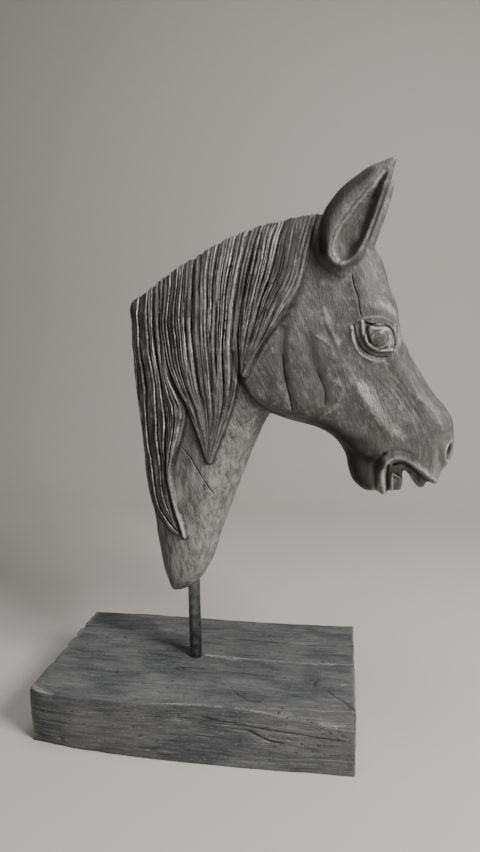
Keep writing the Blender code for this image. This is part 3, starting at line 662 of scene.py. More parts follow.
# Cracks in the wood: a path, half width and depth.
CRACKS = [
    ([(188, 566), (191, 552), (195, 541), (197, 528), (199, 517)], 0.7, 1.0),
    ([(-14, 366), (-8, 358), (-2, 350), (4, 339), (10, 329), (16, 319), (26, 304)], 0.6, 0.7),
    ([(112, 478), (114, 455), (117, 440), (120, 426), (123, 408)], 0.7, 0.9),
    ([(150, 461), (155, 448), (160, 434), (160, 417)], 0.6, 0.6),
]
CRACK_REACH = 6.0
print("strokes", len(STROKES), "mounds", len(MOUNDS), "cracks", len(CRACKS))

# %% [markdown]
# Dry brushing follows the forms as the gouge does, so it is drawn in the same way. So is the shade
# painted under the jaw, behind the ear, round the eye, in the mouth, in hollows and furrows and between
# the tufts of the mane, and a painted glint in the eye. A noise alone would put the pale places anywhere.

# %% Draw the brushing, the painted shade and a painted glint
# The nostrils are painted dark, as shade in their holes.
NOSTRIL_PAINTED_SHADE = 2.0
# Where the paint is rubbed pale, and minus where shade is painted dark: path, half width, strength.
BRUSHING_AND_PAINTED_LIGHT = [
    ([(201, 442), (209, 426), (220, 407), (234, 392), (247, 380)], 6.0, 1.2),
    ([(188, 470), (200, 450), (214, 430), (232, 408)], 9.0, 0.35),
    ([(221, 532), (234, 524), (241, 508), (246, 490)], 4.5, 0.8),
    ([(265, 429), (280, 416), (288, 398), (296, 384)], 5.0, 0.3),
    ([(229, 308), (226, 332), (230, 350), (241, 357), (254, 355), (272, 343), (291, 326)], 2.6, 0.6),
    (EAR_ROOT, 4.0, 0.5),
    (TEMPLE, 2.6, 0.55),
    (UPPER_CHEEK, 2.4, 0.5),
    (LOWER_CHEEK, 2.8, 0.45),
    ([(205, 590), (222, 565), (230, 545)], 9.0, 0.45),
    ([(60, 420), (40, 350), (20, 270), (0, 200)], 40.0, 0.75),
    ([(0, 340), (-12, 300), (-20, 240), (-35, 190)], 24.0, 0.3),
    (BACK_LOCK_LIP, 3.4, 0.7),
    ([(136, 575), (118, 525), (95, 490), (70, 452)], 3.0, 0.5),
    # Painted shade in the two cheek furrows.
    ([(111, 505), (112, 480), (115, 450)], 5.0, -0.75),
    ([(137, 492), (146, 470), (155, 448)], 5.0, -0.75),
    # Painted shade under the chin and the jaw.
    ([(192, 366), (198, 345), (207, 325), (216, 345)], 14.0, -1.9),
    ([(140, 393), (165, 383), (184, 362)], 10.0, -0.8),
    # Painted shade behind the ear, between it and the mane.
    ([(160, 640), (146, 600), (150, 570), (165, 560)], 9.0, -1.0),
    # Painted shade under the brow, over the eye and down its right side.
    ([(203, 513), (214, 509), (226, 508), (235, 499), (239, 484)], 2.2, -0.9),
    ([(212, 520), (224, 520), (236, 512)], 5.0, -0.5),
    # Painted shadow under the cheek's back edge, and painted shade in the gap between two locks.
    ([(53, 478), (57, 455), (70, 432), (88, 414), (112, 402)], 4.0, -1.0),
    ([(60, 560), (58, 500), (60, 455)], 5.0, -0.5),
    # Painted shade inside the mouth and between the teeth.
    ([(241, 346), (252, 347), (266, 338), (282, 323)], 2.6, -1.6),
    ([(234, 346), (234, 330), (235, 312)], 1.8, -1.6),
    ([(245, 320), (246, 312)], 4.0, -0.7),
    ([(268, 330), (273, 320)], 3.0, -0.9),
    (TOOTH_EDGES[0], 1.6, 0.9),
    (TOOTH_EDGES[1], 1.6, 0.9),
    (EYE_RING, 1.0, -0.6),
    ([(217, 492), (217, 496)], 6.0, -0.25),
    # A painted glint on the eye.
    ([(221, 500), (224, 503)], 2.6, 1.4),
    ([(231, 497), (232, 490), (229, 485)], 2.0, 1.3),
    ([(190, 507), (192, 491), (200, 477), (213, 469), (228, 467)], 1.5, 1.2),
    ([(200, 510), (202, 497), (208, 486), (219, 480), (233, 480)], 1.6, 0.9),
    # Painted shade in the valleys between tufts of the mane.
    ([(82, 640), (76, 596), (66, 545)], 4.5, -1.0),
    ([(6, 600), (4, 570), (0, 520)], 4.0, -0.9),
    ([(-44, 580), (-38, 545), (-36, 500)], 3.5, -0.9),
    ([(-80, 520), (-78, 460), (-72, 390), (-66, 330)], 4.0, 0.9),
    # Painted shade in a valley of the cheek lock.
    ([(118, 640), (112, 600), (106, 570)], 7.0, -1.2),
    ([(128, 625), (124, 612), (121, 600)], 2.0, 1.2),
    ([(136, 622), (131, 608), (128, 596)], 1.6, 1.0),
    # Painted shade in the hollow above the mouth corner and under the jaw.
    ([(205, 372), (220, 362), (216, 350)], 9.0, -0.7),
    ([(150, 392), (172, 380), (186, 356), (192, 330)], 9.0, -0.8),
]
# The same on the near ear's outer face: pale rims, and painted shade on the ear's back and in its hollow.
EAR_BRUSHING_AND_PAINTED_SHADE = [
    ([(173, 580), (168, 590), (170, 603), (178, 618), (192, 636), (207, 653), (224, 671)], 1.6, 1.2),
    ([(173, 580), (183, 578), (192, 584)], 1.6, 0.8),
    ([(192, 602), (200, 622), (208, 640)], 4.0, 0.5),
    ([(200, 640), (212, 655), (220, 668)], 2.4, 0.9),
    # Painted shade: the bottom of the hollow, the ear's back, the whole hollow a little, and the hollow's
    # right wall.
    ([(186, 592), (189, 598)], 4.0, -0.7),
    ([(157, 590), (160, 622), (177, 648), (205, 670)], 6.0, -1.4),
    ([(186, 596), (205, 640)], 22.0, -0.3),
    ([(207, 600), (216, 628), (224, 655)], 2.6, -0.9),
]
print("brushed places", len(BRUSHING_AND_PAINTED_LIGHT) + len(EAR_BRUSHING_AND_PAINTED_SHADE))


# %% Turn the drawing into heights and tones
def brushing_and_painted_light_field(points, strokes):
    """How pale or dark the finish is, from the strokes above: dry brushing, painted shade and a painted
    glint, and painted shade in the nostrils.
    """
    xz = points[:, [0, 2]]
    tone = np.zeros(len(xz))
    for path, half_width, strength in strokes:
        gap = path_distance(xz, smooth_path(path), 2.2 * half_width)
        tone += strength * np.exp(-(gap / half_width) ** 2)
    for out in (1, -1):
        tone -= NOSTRIL_PAINTED_SHADE * np.exp(-(nostril_gap(points, out) / NOSTRIL_RADIUS) ** 4)
    return tone


def nostril_gap(points, out):
    """Distance to a nostril, the near one for 1 and the far one for -1."""
    return np.linalg.norm((points - np.array(NOSTRIL) * (1, out, 1)) * NOSTRIL_SHAPE, axis=1)


def face_heights(xz):
    height = np.zeros(len(xz))
    for path, half_width, rise in STROKES:
        gap = path_distance(xz, smooth_path(path), 3 * half_width)
        height += rise * np.exp(-(gap / half_width) ** 2)
    for x, z, half_long, half_broad, tilt, rise in MOUNDS:
        turn = math.radians(tilt)
        u = (xz[:, 0] - x) * math.cos(turn) + (xz[:, 1] - z) * math.sin(turn)
        v = (xz[:, 1] - z) * math.cos(turn) - (xz[:, 0] - x) * math.sin(turn)
        height += rise * np.exp(-(u / half_long) ** 2 - (v / half_broad) ** 2)
    from_eye = np.hypot(xz[:, 0] - EYE[0], xz[:, 1] - EYE[1]) - EYE_RADIUS
    height += EYE_HEIGHT * np.sqrt(np.clip(1 - (1 + from_eye / EYE_RADIUS) ** 2, 0, 1))
    height -= EYE_SOCKET_DEPTH * np.exp(-(from_eye / EYE_SOCKET_HALF) ** 2)
    return height


def crack_field(xz):
    """Signed distance to the nearest crack, and how much of its depth it has there."""
    off = np.full(len(xz), CRACK_REACH)
    strength, cut = np.zeros(len(xz)), np.zeros(len(xz))
    for path, half_width, depth in CRACKS:
        line = smooth_path(path)
        near = close_to(xz, line, CRACK_REACH)
        gap, share = guide_offset(xz[near], line)
        closer = np.abs(gap) < np.abs(off[near])
        taper = tapered(share) * (np.abs(gap) < CRACK_REACH)
        off[near] = np.where(closer, gap, off[near])
        strength[near] = np.where(closer, taper, strength[near])
        cut[near] += depth * taper * np.exp(-(gap / half_width) ** 2)
    return off, strength, cut


# %% [markdown]
# Every point moves along its own normal by the sum of all heights. Where the skin faces along
# the drawing the strokes would smear, so they fade there. The far side, which the photograph
# doesn't show, is carved a little less deep.

# %% Carve the skin
# The far side gets a share of the near side's carving, and of its brushing and painted shade.
FAR_SIDE, FAR_BRUSHING_AND_SHADE = 0.7, 0.35       # shares of the near side's depth and brushing
SIDE_BLEND = 10.0
FACING_GAIN = 1.6
EAR_MARGIN, EAR_FOOT_OUT = 3.0, 20.0
MANE_FRONT, MANE_FOOT = 165, 235
HAND_UNEVEN, HAND_LENGTHS = 0.35, (38, 17)

points = positions(carving.data)
facing = normals(carving.data)
xz = points[:, [0, 2]]
sideways = np.clip(np.abs(facing[:, 1]) * FACING_GAIN, 0, 1)
near_side = step(-points[:, 1], SIDE_BLEND)
depth = FAR_SIDE + (1 - FAR_SIDE) * near_side
on_ear = step(signed_distance(xz, EAR_OUTLINE, 30) + EAR_MARGIN, EAR_MARGIN)
on_ear *= step(np.abs(points[:, 1]) - EAR_FOOT_OUT, SIDE_BLEND)

mane = np.flatnonzero((xz[:, 0] < MANE_FRONT) & (xz[:, 1] > MANE_FOOT))
body, strands, groove, cover, undercut = (np.zeros(len(xz)) for _ in range(5))
lay = np.zeros((len(xz), 3))
(body[mane], strands[mane], groove[mane], lay[mane], cover[mane],
 undercut[mane]) = mane_field(xz[mane])
crack_off, crack_strength, crack_cut = crack_field(xz)
crack_strength *= near_side * (1 - on_ear)
height = (face_heights(xz) + body) * sideways + strands
height *= depth * (1 - on_ear)
height -= crack_cut * near_side * sideways * (1 - on_ear)
for out in (1, -1):
    height -= NOSTRIL_DEPTH * np.exp(-(nostril_gap(points, out) / NOSTRIL_RADIUS) ** 4)
height += HAND_UNEVEN * waves(points[:, 0] + points[:, 1], points[:, 2], 21, HAND_LENGTHS)
set_positions(carving.data, points + facing * height[:, None])
print("carved", len(points), "points", round(time.time() - START, 1), "s")

# %% [markdown]
# ## What the finish needs to know
# Dry paint stays on what stands out, and what is cut in is painted dark, as shade. The finish reads both
# from the shape: each point is compared with the average of its neighbours, near ones for fine edges and
# far ones for whole hollows. Blender's Pointiness node does this only in a render, and can't be
# exported, so the result is stored on the mesh.

# %% Measure ridges and hollows
NEAR_ROUNDS, FAR_ROUNDS = 3, 24


def averaged(values, ends, rounds):
    """The mean of each point and its neighbours, taken again and again."""
    count = len(values)
    neighbours = np.bincount(ends.ravel(), minlength=count)
    for _ in range(rounds):
        total = np.stack([np.bincount(ends[:, 0], column[ends[:, 1]], count)
                          + np.bincount(ends[:, 1], column[ends[:, 0]], count)
                          for column in values.T], 1)
        values = (values + total) / (1 + neighbours[:, None])
    return values


points = positions(carving.data)
facing = normals(carving.data)
ends = np.empty(len(carving.data.edges) * 2, np.int32)
carving.data.edges.foreach_get("vertices", ends)
ends = ends.reshape(-1, 2)
fine = averaged(points, ends, NEAR_ROUNDS)
broad = averaged(fine, ends, FAR_ROUNDS)
off_ear = 1 - on_ear
# Dry brushing, painted shade and a painted glint, from the strokes.
brushing_and_painted_light = brushing_and_painted_light_field(points, BRUSHING_AND_PAINTED_LIGHT) * off_ear + brushing_and_painted_light_field(points, EAR_BRUSHING_AND_PAINTED_SHADE) * on_ear
for name, values in (("fine", ((points - fine) * facing).sum(1)),
                     ("broad", ((points - broad) * facing).sum(1)),
                     ("strand", lay), ("groove", groove * off_ear), ("lock", cover * off_ear),
                     ("undercut", undercut * off_ear), ("crack", crack_off),
                     ("cracked", crack_strength),
                     ("brushing_and_painted_light", brushing_and_painted_light * (FAR_BRUSHING_AND_SHADE + (1 - FAR_BRUSHING_AND_SHADE) * near_side))):
    store(carving.data, name, values)
print("finish maps", round(time.time() - START, 1), "s")

# %% [markdown]
# ## Fewer triangles, and the right place
# Decimate keeps small triangles where the carving is fine and spends few on the smooth neck.
# Then the drawing's millimetres become metres, on the rod's axis.

# %% Thin out and place the carving
HEAD_TRIANGLES = 192000
SEAT = Vector((-0.012, 0, 0.174))               # metres, where the rod meets the neck
DRAWN_SEAT = Vector((-12.0, 0.0, 174.0))        # and the same place on the drawing

fewer = carving.modifiers.new("Fewer faces", "DECIMATE")
fewer.ratio = HEAD_TRIANGLES / (2 * len(carving.data.polygons))
fewer.use_collapse_triangulate = True
applied(carving)
carving.data.transform(Matrix.Translation(SEAT) @ Matrix.Scale(1 / MILLIMETRES, 4)
                       @ Matrix.Translation(-DRAWN_SEAT))
kept_inside(carving.data, "horse_head")
shade_smooth(carving.data)
print("carving", len(carving.data.polygons), "triangles", round(time.time() - START, 1), "s")

# %% [markdown]
# ## The rod
# The rod is plain round bar, so its CAD size is right as it is. It is turned again with more
# sides and a small chamfer at each end, so that the steel shows one clean highlight.

# %% Turn the rod
ROD_SIDES, ROD_CHAMFER, ROD_RINGS = 72, 0.0008, 60
SHARP_ANGLE = math.radians(35)
low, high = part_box("rod")
radius, tall = (high.x - low.x) / 2, high.z - low.z
work = bmesh.new()
bmesh.ops.create_cone(work, cap_ends=True, segments=ROD_SIDES, radius1=radius, radius2=radius,
                      depth=tall)
rims = [e for e in work.edges if len({round(v.co.z, 6) for v in e.verts}) == 1]
bmesh.ops.bevel(work, geom=rims, offset=ROD_CHAMFER, segments=2, profile=0.5, affect="EDGES",
                material=-1)
uprights = [e for e in work.edges if abs(e.verts[0].co.z - e.verts[1].co.z) > tall / 2]
bmesh.ops.subdivide_edges(work, edges=uprights, cuts=ROD_RINGS)
bmesh.ops.translate(work, verts=work.verts, vec=(low + high) / 2)
mesh = new_mesh("steel_rod", work)
shade_smooth(mesh)
mesh.set_sharp_from_angle(angle=SHARP_ANGLE)
rod = place_object("steel_rod", mesh)
print("rod", len(mesh.polygons), "faces")

# %% [markdown]
# ## The block
# The block is a length of old timber: its front face wanders, its edges are worn round, the top
# is split along the grain and the softer wood between the year rings has weathered away. A
# plain box is cut into narrow strips, fine across the grain and coarse along it, because every
# line in old wood runs along the grain. Then its points are moved: first into the bowed shape of
# the CAD solid, then in and out by the grain.

# %% Cut the block into strips
PLINTH_LENGTH, PLINTH_DEPTH, PLINTH_HEIGHT = 400.0, 214.0, 72.0
PLINTH_BOW = 8.0
FRONT_TOP_LINE = [(-0.5, 0.0), (-0.42, 0.9), (-0.16, 1.0), (0.0, 0.1), (0.15, -0.1), (0.5, -0.3)]
FRONT_FOOT_LINE = [(-0.5, -0.2), (-0.3, 0.9), (0.05, 1.2), (0.5, 0.3)]
BACK_LINE = [(-0.5, -0.6), (-0.3, -0.1), (0.2, -0.2), (0.5, 0.6)]
STRIPS = (130, 190, 62)     # along X, Y and Z


def line_height(line, share):
    path = smooth_path(line)
    return np.interp(share, path[:, 0], path[:, 1])


work = bmesh.new()
bmesh.ops.create_cube(work, size=1.0)
for axis, strips in enumerate(STRIPS):
    along_axis = [e for e in work.edges
                  if abs(e.verts[0].co[axis] - e.verts[1].co[axis]) > 0.5]
    bmesh.ops.subdivide_edges(work, edges=along_axis, cuts=strips - 1)
block = place_object("timber_block", new_mesh("timber_block", work))
print("block", len(block.data.polygons), "faces", round(time.time() - START, 1), "s")

# %% [markdown]
# Handling has rounded every edge by an uneven amount. The front edge is worn off towards the
# right end, and the corner at the left end is broken: both are planes that the block is pressed
# back onto, as a plane iron or a break would leave it.

# %% Round and press the edges
ARRIS = (1.6, 4.2)              # the least and the most that an edge is rounded
WORN_START, WORN_DROP, WORN_BACK = 60.0, 20.0, 10.0
CHIP_SIZE, CHIP_FACING = 14.0, (-1.0, -0.8, 1.2)
FACING_A_SIDE = 0.7             # past this share a point faces one side only


def onto_plane(points, through, outward):
    """Press whatever stands beyond a plane back onto it."""
    outward = np.array(outward) / np.linalg.norm(outward)
    beyond = np.clip((points - through) @ outward, 0, None)
    return points - beyond[:, None] * outward, beyond


unit = positions(block.data)
size = np.array((PLINTH_LENGTH, PLINTH_DEPTH, PLINTH_HEIGHT))
flat = unit * size
arris = ARRIS[0] + (ARRIS[1] - ARRIS[0]) * noise(flat.sum(1) / 23, flat[:, 2] / 40 + 9, 4) ** 2
core = np.clip(flat, -size / 2 + arris[:, None], size / 2 - arris[:, None])
away = flat - core
outward = away / np.maximum(np.linalg.norm(away, axis=1), 1e-6)[:, None]
points = core + outward * arris[:, None]
points[:, 2] += PLINTH_HEIGHT / 2
end, front, top = PLINTH_LENGTH / 2, -PLINTH_DEPTH / 2, PLINTH_HEIGHT
worn_start = np.array((WORN_START, front, top))
worn_low = np.array((end, front, top - WORN_DROP)) - worn_start
worn_back = np.array((end, front + WORN_BACK, top)) - worn_start
points, worn = onto_plane(points, worn_start, -np.cross(worn_back, worn_low))
points, chipped = onto_plane(points, np.array((-end + CHIP_SIZE / 2, front, top)), CHIP_FACING)
print("worn", np.count_nonzero(worn), "points, chipped", np.count_nonzero(chipped))

# %% [markdown]
# The year rings run along the block and bend round its knots. Each point gets its place across
# the rings, and soft wood between them lies lower than the hard lines. The ends show the saw.

# %% Lay the year rings
KNOTS = [(-111, -46, 7.0), (-42, -20, 6.0), (-26, -30, 4.5), (146, -45, 8.0), (120, 70, 9.0)]
KNOT_PULL = 5.0
GRAIN_BOW, GRAIN_COARSE, GRAIN_FINE, GRAIN_TORN = 7.0, 0.7, 0.5, 1.1
SWELL = 1.3
SAW_MARKS, END_PITS = 0.5, 0.6

x, y, z = flat[:, 0], flat[:, 1], flat[:, 2] + PLINTH_HEIGHT / 2
on_top = np.abs(outward[:, 2]) > FACING_A_SIDE
on_end = np.abs(outward[:, 0]) > FACING_A_SIDE
across = np.where(on_top, y, z + np.sign(y) * PLINTH_DEPTH / 2)
pull = np.zeros(len(x))
for knot_x, knot_y, radius in KNOTS:
    gap = np.hypot((x - knot_x) / 2.2, y - knot_y)
    pull += np.sign(y - knot_y) * KNOT_PULL * np.exp(-(gap / radius / 1.6) ** 2) * on_top
ring = across + GRAIN_BOW * (noise(x / 130, across / 70, 11) - 0.5) - pull
sink = np.zeros(len(x))
for deep, least, grain in ((GRAIN_COARSE, 0.42, noise(x / 150 + 3, ring / 5.5, 12)),
                           (GRAIN_FINE, 0.5, noise(x / 60, ring / 1.9, 13)),
                           (GRAIN_TORN, 0.30, noise(x / 26, ring / 3.2, 14))):
    sink += np.clip(least - grain, 0, 1) / least * deep
swell = SWELL * (noise(x / 90, across / 60, 15) - 0.5)
end_marks = SAW_MARKS * noise(y / 30, z / 1.6, 16) + END_PITS * noise(y / 5, z / 5, 17)
sink = np.where(on_end, end_marks, sink)
print("grain", sink.max().round(2), "mm deep at most")

# %% [markdown]
# Splits open along the grain as old timber dries. Around the knots and along the front edge the
# wood has rotted and crumbled into small pits, and the left edge is chipped.

# %% Open the splits, knots and pits
# Splits: a path, half width and depth.
TOP_SPLITS = [
    ([(-150, -3), (-105, -2), (-70, 0), (-40, -4), (-21, -6)], 0.7, 1.2),
    ([(-4, 1), (7, 1), (22, -2), (53, -5), (103, -5), (142, -4), (168, 0), (205, -1)], 1.2, 3.2),
    ([(54, -73), (63, -82), (76, -90), (90, -93)], 1.0, 2.2),
    ([(168, -62), (175, -69), (187, -79), (202, -98)], 1.0, 2.2),
    ([(-26, -28), (20, -31), (60, -35), (96, -36)], 0.7, 1.2),
    ([(-200, 62), (-130, 60), (-60, 66), (-10, 64)], 0.8, 1.5),
    ([(10, 48), (70, 51), (140, 47), (204, 50)], 0.8, 1.6),
]
FRONT_SPLITS = [
    ([(76, 45), (81, 43), (92, 38), (103, 34), (118, 33)], 0.9, 2.2),
    ([(20, 57), (70, 51), (130, 46), (190, 42)], 0.6, 0.7),
]
SPLIT_REACH, SPLIT_RAGGED = 9.0, 0.8
# Clusters of pits on the front, in x and z, and how wide each is.
PITS = [(-3, 56, 7), (65, 51, 5), (105, 46, 6), (128, 36, 6), (150, 25, 5), (-38, 13, 4),
        (178, 48, 5), (-160, 8, 5)]
PIT_DEPTH, KNOT_RIM, KNOT_PITS = 1.6, 0.8, 2.2
CHIP_DEPTH, CHIP_REACH = 2.6, 6

split, split_off = np.zeros(len(x)), np.full(len(x), SPLIT_REACH)
for lines, part, second in ((TOP_SPLITS, on_top & (outward[:, 2] > 0), y),
                            (FRONT_SPLITS, ~on_top & ~on_end & (y < 0), z)):
    where = np.flatnonzero(part)
    here = np.stack([x, second], 1)[where]
    for path, half_width, deep in lines:
        gap, share = guide_offset(here, smooth_path(path))
        gap += SPLIT_RAGGED * (noise(here[:, 0] / 6, here[:, 1] / 6, 18) - 0.5)
        split[where] += deep * tapered(share) * np.exp(-(gap / half_width) ** 2)
        split_off[where] = np.where(np.abs(gap) < np.abs(split_off[where]), gap, split_off[where])
sink = sink + split * ~on_end
crumbled = np.clip(2.4 * noise(x / 2.6, y / 2.2, 19) - 0.9, 0, 1)
for knot_x, knot_y, radius in KNOTS:
    gap = np.hypot((x - knot_x) / 1.5, y - knot_y)
    sink += KNOT_RIM * np.exp(-((gap - radius * 0.5) / 1.2) ** 2) * on_top
    sink += KNOT_PITS * crumbled * np.exp(-(gap / radius / 1.3) ** 4) * on_top
crumbled = np.clip(3.0 * noise(x / 2.8, z / 1.9, 20) - 1.5, 0, 1)
for pit_x, pit_z, radius in PITS:
    gap = np.hypot((x - pit_x) / 1.8, z - pit_z)
    in_pit = np.exp(-(gap / radius) ** 4) * (outward[:, 1] < -FACING_A_SIDE)
    sink += PIT_DEPTH * crumbled * in_pit
from_left_edge = np.hypot(x + PLINTH_LENGTH / 2, z - PLINTH_HEIGHT)
chips = np.clip(3.0 * noise(y / 8, z / 6 + 3, 22) - 1.5, 0, 1)
sink += CHIP_DEPTH * chips * np.exp(-(from_left_edge / CHIP_REACH) ** 2)
print("splits", len(TOP_SPLITS) + len(FRONT_SPLITS), "knots", len(KNOTS), "pits", len(PITS))

# %% [markdown]
# Last the whole block is bowed as its CAD solid is, set down flat, and given what its finish
# needs: where it is sunk, split, worn and rubbed, and each point's place among the rings.

# %% Bow the block and mark it for the finish
SKIN_ROOM = 0.65                # how far the skin starts inside the CAD solid
UNDERSIDE_SINK = 0.6            # the most that the underside is sunk
WORN_PALE = 3.0
# Where an edge is rubbed pale: two ends in mm and how far the rubbing reaches.
RUBBED = [((2, 3, 72), (45, 0, 72), 2.6), ((45, 0, 72), (200, 1, 72), 1.1),
          ((-62, -107, 72), (44, -107, 72), 2.6), ((60, -107, 71), (150, -107, 62), 0.8),
          ((60, -107, 72), (200, -97, 72), 0.8), ((158, -107, 61), (184, -107, 57), 2.6),
          ((-200, -107, 10), (-200, -100, 72), 4.5), ((-200, -95, 72), (-170, -107, 72), 5.0),
          ((200, -104, 4), (200, -104, 56), 2.5), ((200, -95, 72), (200, 100, 72), 2.0),
          ((-200, -20, 72), (-196, 100, 72), 3.5)]

climb, depth_share = unit[:, 2] + 0.5, unit[:, 1] + 0.5
bow_front = line_height(FRONT_FOOT_LINE, unit[:, 0]) * (1 - climb) \
    + line_height(FRONT_TOP_LINE, unit[:, 0]) * climb
bow_back = line_height(BACK_LINE, unit[:, 0])
points[:, 1] += PLINTH_BOW * (bow_back * depth_share - bow_front * (1 - depth_share))
underside = outward[:, 2] < -FACING_A_SIDE
sink = np.where(underside, np.clip(sink, 0, UNDERSIDE_SINK), sink)
points -= outward * (sink + SKIN_ROOM - swell * ~underside)[:, None]
points[underside, 2] = np.maximum(points[underside, 2] - points[underside, 2].min(), 0)
set_positions(block.data, points / MILLIMETRES)

rubbed = np.zeros(len(x))
standing = flat + (0, 0, PLINTH_HEIGHT / 2)
for start, finish, reach in RUBBED:
    start, run = np.array(start, float), np.subtract(finish, start)
    share = np.clip((standing - start) @ run / (run @ run), 0, 1)
    gap = np.linalg.norm(standing - start - share[:, None] * run, axis=1)
    rubbed = np.maximum(rubbed, np.exp(-(gap / reach) ** 2))
for name, values in (("sunk", sink), ("split", split_off), ("rubbed", rubbed),
                     ("worn", np.clip((worn + chipped) / WORN_PALE, 0, 1)),
                     ("ring", np.stack([x, ring, np.where(on_end, 1.0, 0.0)], 1))):
    store(block.data, name, values)
kept_inside(block.data, "plinth")
shade_smooth(block.data)
print("block weathered", round(time.time() - START, 1), "s")

# %% [markdown]
# ## Shader maths as plain sums
# A material is a net of nodes, and a net of Math nodes is hard to read. One small class wraps
# a socket, so that `1 - mask * 0.5` adds the nodes by itself.

# %% A socket that can be reckoned with
class Signal:
    def __init__(self, finish, socket):
        self.finish, self.socket = finish, socket

    def math(self, operation, *values):
        return self.finish.node("ShaderNodeMath", {"operation": operation}, dict(enumerate(values)))

    def __add__(self, other): return self.math("ADD", self, other)
    def __radd__(self, other): return self.math("ADD", other, self)
    def __sub__(self, other): return self.math("SUBTRACT", self, other)
    def __rsub__(self, other): return self.math("SUBTRACT", other, self)
    def __mul__(self, other): return self.math("MULTIPLY", self, other)
    def __rmul__(self, other): return self.math("MULTIPLY", other, self)
    def __abs__(self): return self.math("ABSOLUTE", self)
    def most(self, other): return self.math("MAXIMUM", self, other)
    def least(self, other): return self.math("MINIMUM", self, other)


# %% A material that adds its own nodes
class Finish:
    def __init__(self, name):
        self.material = bpy.data.materials.new(name)
        self.material.use_nodes = True
        self.tree = self.material.node_tree
        self.shader = self.tree.nodes["Principled BSDF"]

    def node(self, kind, settings, sockets, output=0):
        """Add a node: its settings first, then the values or links of its sockets."""
        made = self.tree.nodes.new(kind)
        for name, value in settings.items():
            setattr(made, name, value)
        for name, value in sockets.items():
            self.feed(made.inputs[name], value)
        return Signal(self, made.outputs[output])

    def feed(self, socket, value):
        if isinstance(value, Signal):
            self.tree.links.new(value.socket, socket)
        elif isinstance(value, tuple) and socket.type == "RGBA":
            socket.default_value = (*value, 1)
        else:
            socket.default_value = value

    def attribute(self, name, output="Fac"):
        return self.node("ShaderNodeAttribute", {"attribute_name": name}, {}, output)

    def place(self):
        """Millimetres on the object."""
        spot = self.node("ShaderNodeTexCoord", {}, {}, "Object")
        return self.scaled(spot, (MILLIMETRES,) * 3)

    def scaled(self, vector, sizes):
        return self.node("ShaderNodeMapping", {}, {"Vector": vector, "Scale": sizes})

    def turned(self, vector, degrees):
        """Lean the pattern towards +X, so that what ran down Z runs down and forwards."""
        return self.node("ShaderNodeVectorRotate", {"rotation_type": "Y_AXIS"},
                         {"Vector": vector, "Angle": math.radians(degrees)})

    def joined(self, *parts):
        return self.node("ShaderNodeCombineXYZ", {}, dict(enumerate(parts)))

    def parted(self, vector):
        """The three parts of a vector."""
        first = self.node("ShaderNodeSeparateXYZ", {}, {0: vector})
        return [Signal(self, socket) for socket in first.socket.node.outputs]

    def noise(self, vector, size, detail=2.0, rough=0.5, bend=0.0):
        """Noise whose spots are about as wide as size."""
        return self.node("ShaderNodeTexNoise", {"noise_dimensions": "3D"},
                         {"Vector": vector, "Scale": 1 / size, "Detail": detail,
                          "Roughness": rough, "Distortion": bend}, "Fac")

    def ramp(self, value, start, end, low=0.0, high=1.0):
        """Rise smoothly from low to high as the value goes from start to end."""
        return self.node("ShaderNodeMapRange", {"interpolation_type": "SMOOTHSTEP"},
                         {"Value": value, "From Min": start, "From Max": end,
                          "To Min": low, "To Max": high})

    def layers(self, tone, *coats):
        """Lay coats over a first tone, each with the share that it covers and its colour."""
        for share, colour in coats:
            tone = self.node("ShaderNodeMix", {"data_type": "RGBA"}, {0: share, 6: tone, 7: colour}, 2)
        return tone

    def bump(self, height, distance, strength):
        return self.node("ShaderNodeBump", {},
                         {"Height": height, "Distance": distance, "Strength": strength})

    def finish(self, **sockets):
        for name, value in sockets.items():
            self.feed(self.shader.inputs[name.replace("_", " ")], value)
        return self.material


# %% [markdown]
# ## The carved wood
# Every groove and hollow is painted almost black, as shade; the wood is a dull grey brown on the flats,
# and pale and chalky where a dry brush has caught the ridges. The strands carry their own coordinates
# (which groove, how far along, how wide a strand is), so that each dark line of painted shade is drawn
# exactly in its groove, however coarse the mesh is there.

# %% Read the carving
FACE_GRAIN, NECK_GRAIN = 27.0, 4.0      # degrees that the brush marks lean forwards
NECK_FROM, NECK_BELOW = 395.0, 330.0    # heights in mm between which the face gives way to the neck

wood = Finish("carved_wood")
spot = wood.place()
phase, along, pitch = wood.parted(wood.attribute("strand", "Vector"))
lock, groove, fine, broad, undercut, brushing_and_painted_light, cracked = (
    wood.attribute(name)
    for name in ("lock", "groove", "fine", "broad", "undercut", "brushing_and_painted_light", "cracked"))
plain = 1 - lock
neck = wood.ramp(wood.parted(spot)[2], NECK_FROM, NECK_BELOW)
lean, upright = wood.turned(spot, FACE_GRAIN), wood.turned(spot, NECK_GRAIN)
mottle = wood.noise(spot, 40.0, 4.0, 0.6, 0.3)
blotch = wood.noise(spot, 11.0, 5.0, 0.62, 0.5)
speck = wood.noise(spot, 1.7, 4.0, 0.65)
fibre = wood.noise(wood.scaled(upright, (1, 1, 0.08)), 2.2, 5.0, 0.68, 0.30)
stain = wood.noise(wood.scaled(upright, (1, 1, 0.25)), 7.0, 5.0, 0.65, 0.4)
streak = wood.noise(wood.scaled(lean, (1, 1, 0.07)), 3.2, 5.0, 0.68, 0.25)
streak = streak + (stain - streak) * neck
scratch = wood.noise(wood.scaled(lean, (1, 1, 0.035)), 0.9, 4.0, 0.7, 0.1)
hair = wood.noise(wood.joined(phase * 4.5, along * 0.22), 1.0, 5.0, 0.68)
tuft = wood.noise(wood.joined(phase * 0.32, along * 0.022), 1.0, 2.0, 0.5)
gaps = wood.noise(wood.joined(phase * 1.3, along * 0.09), 1.0, 3.0, 0.6)
print("patterns of the wood", len(wood.tree.nodes), "nodes")

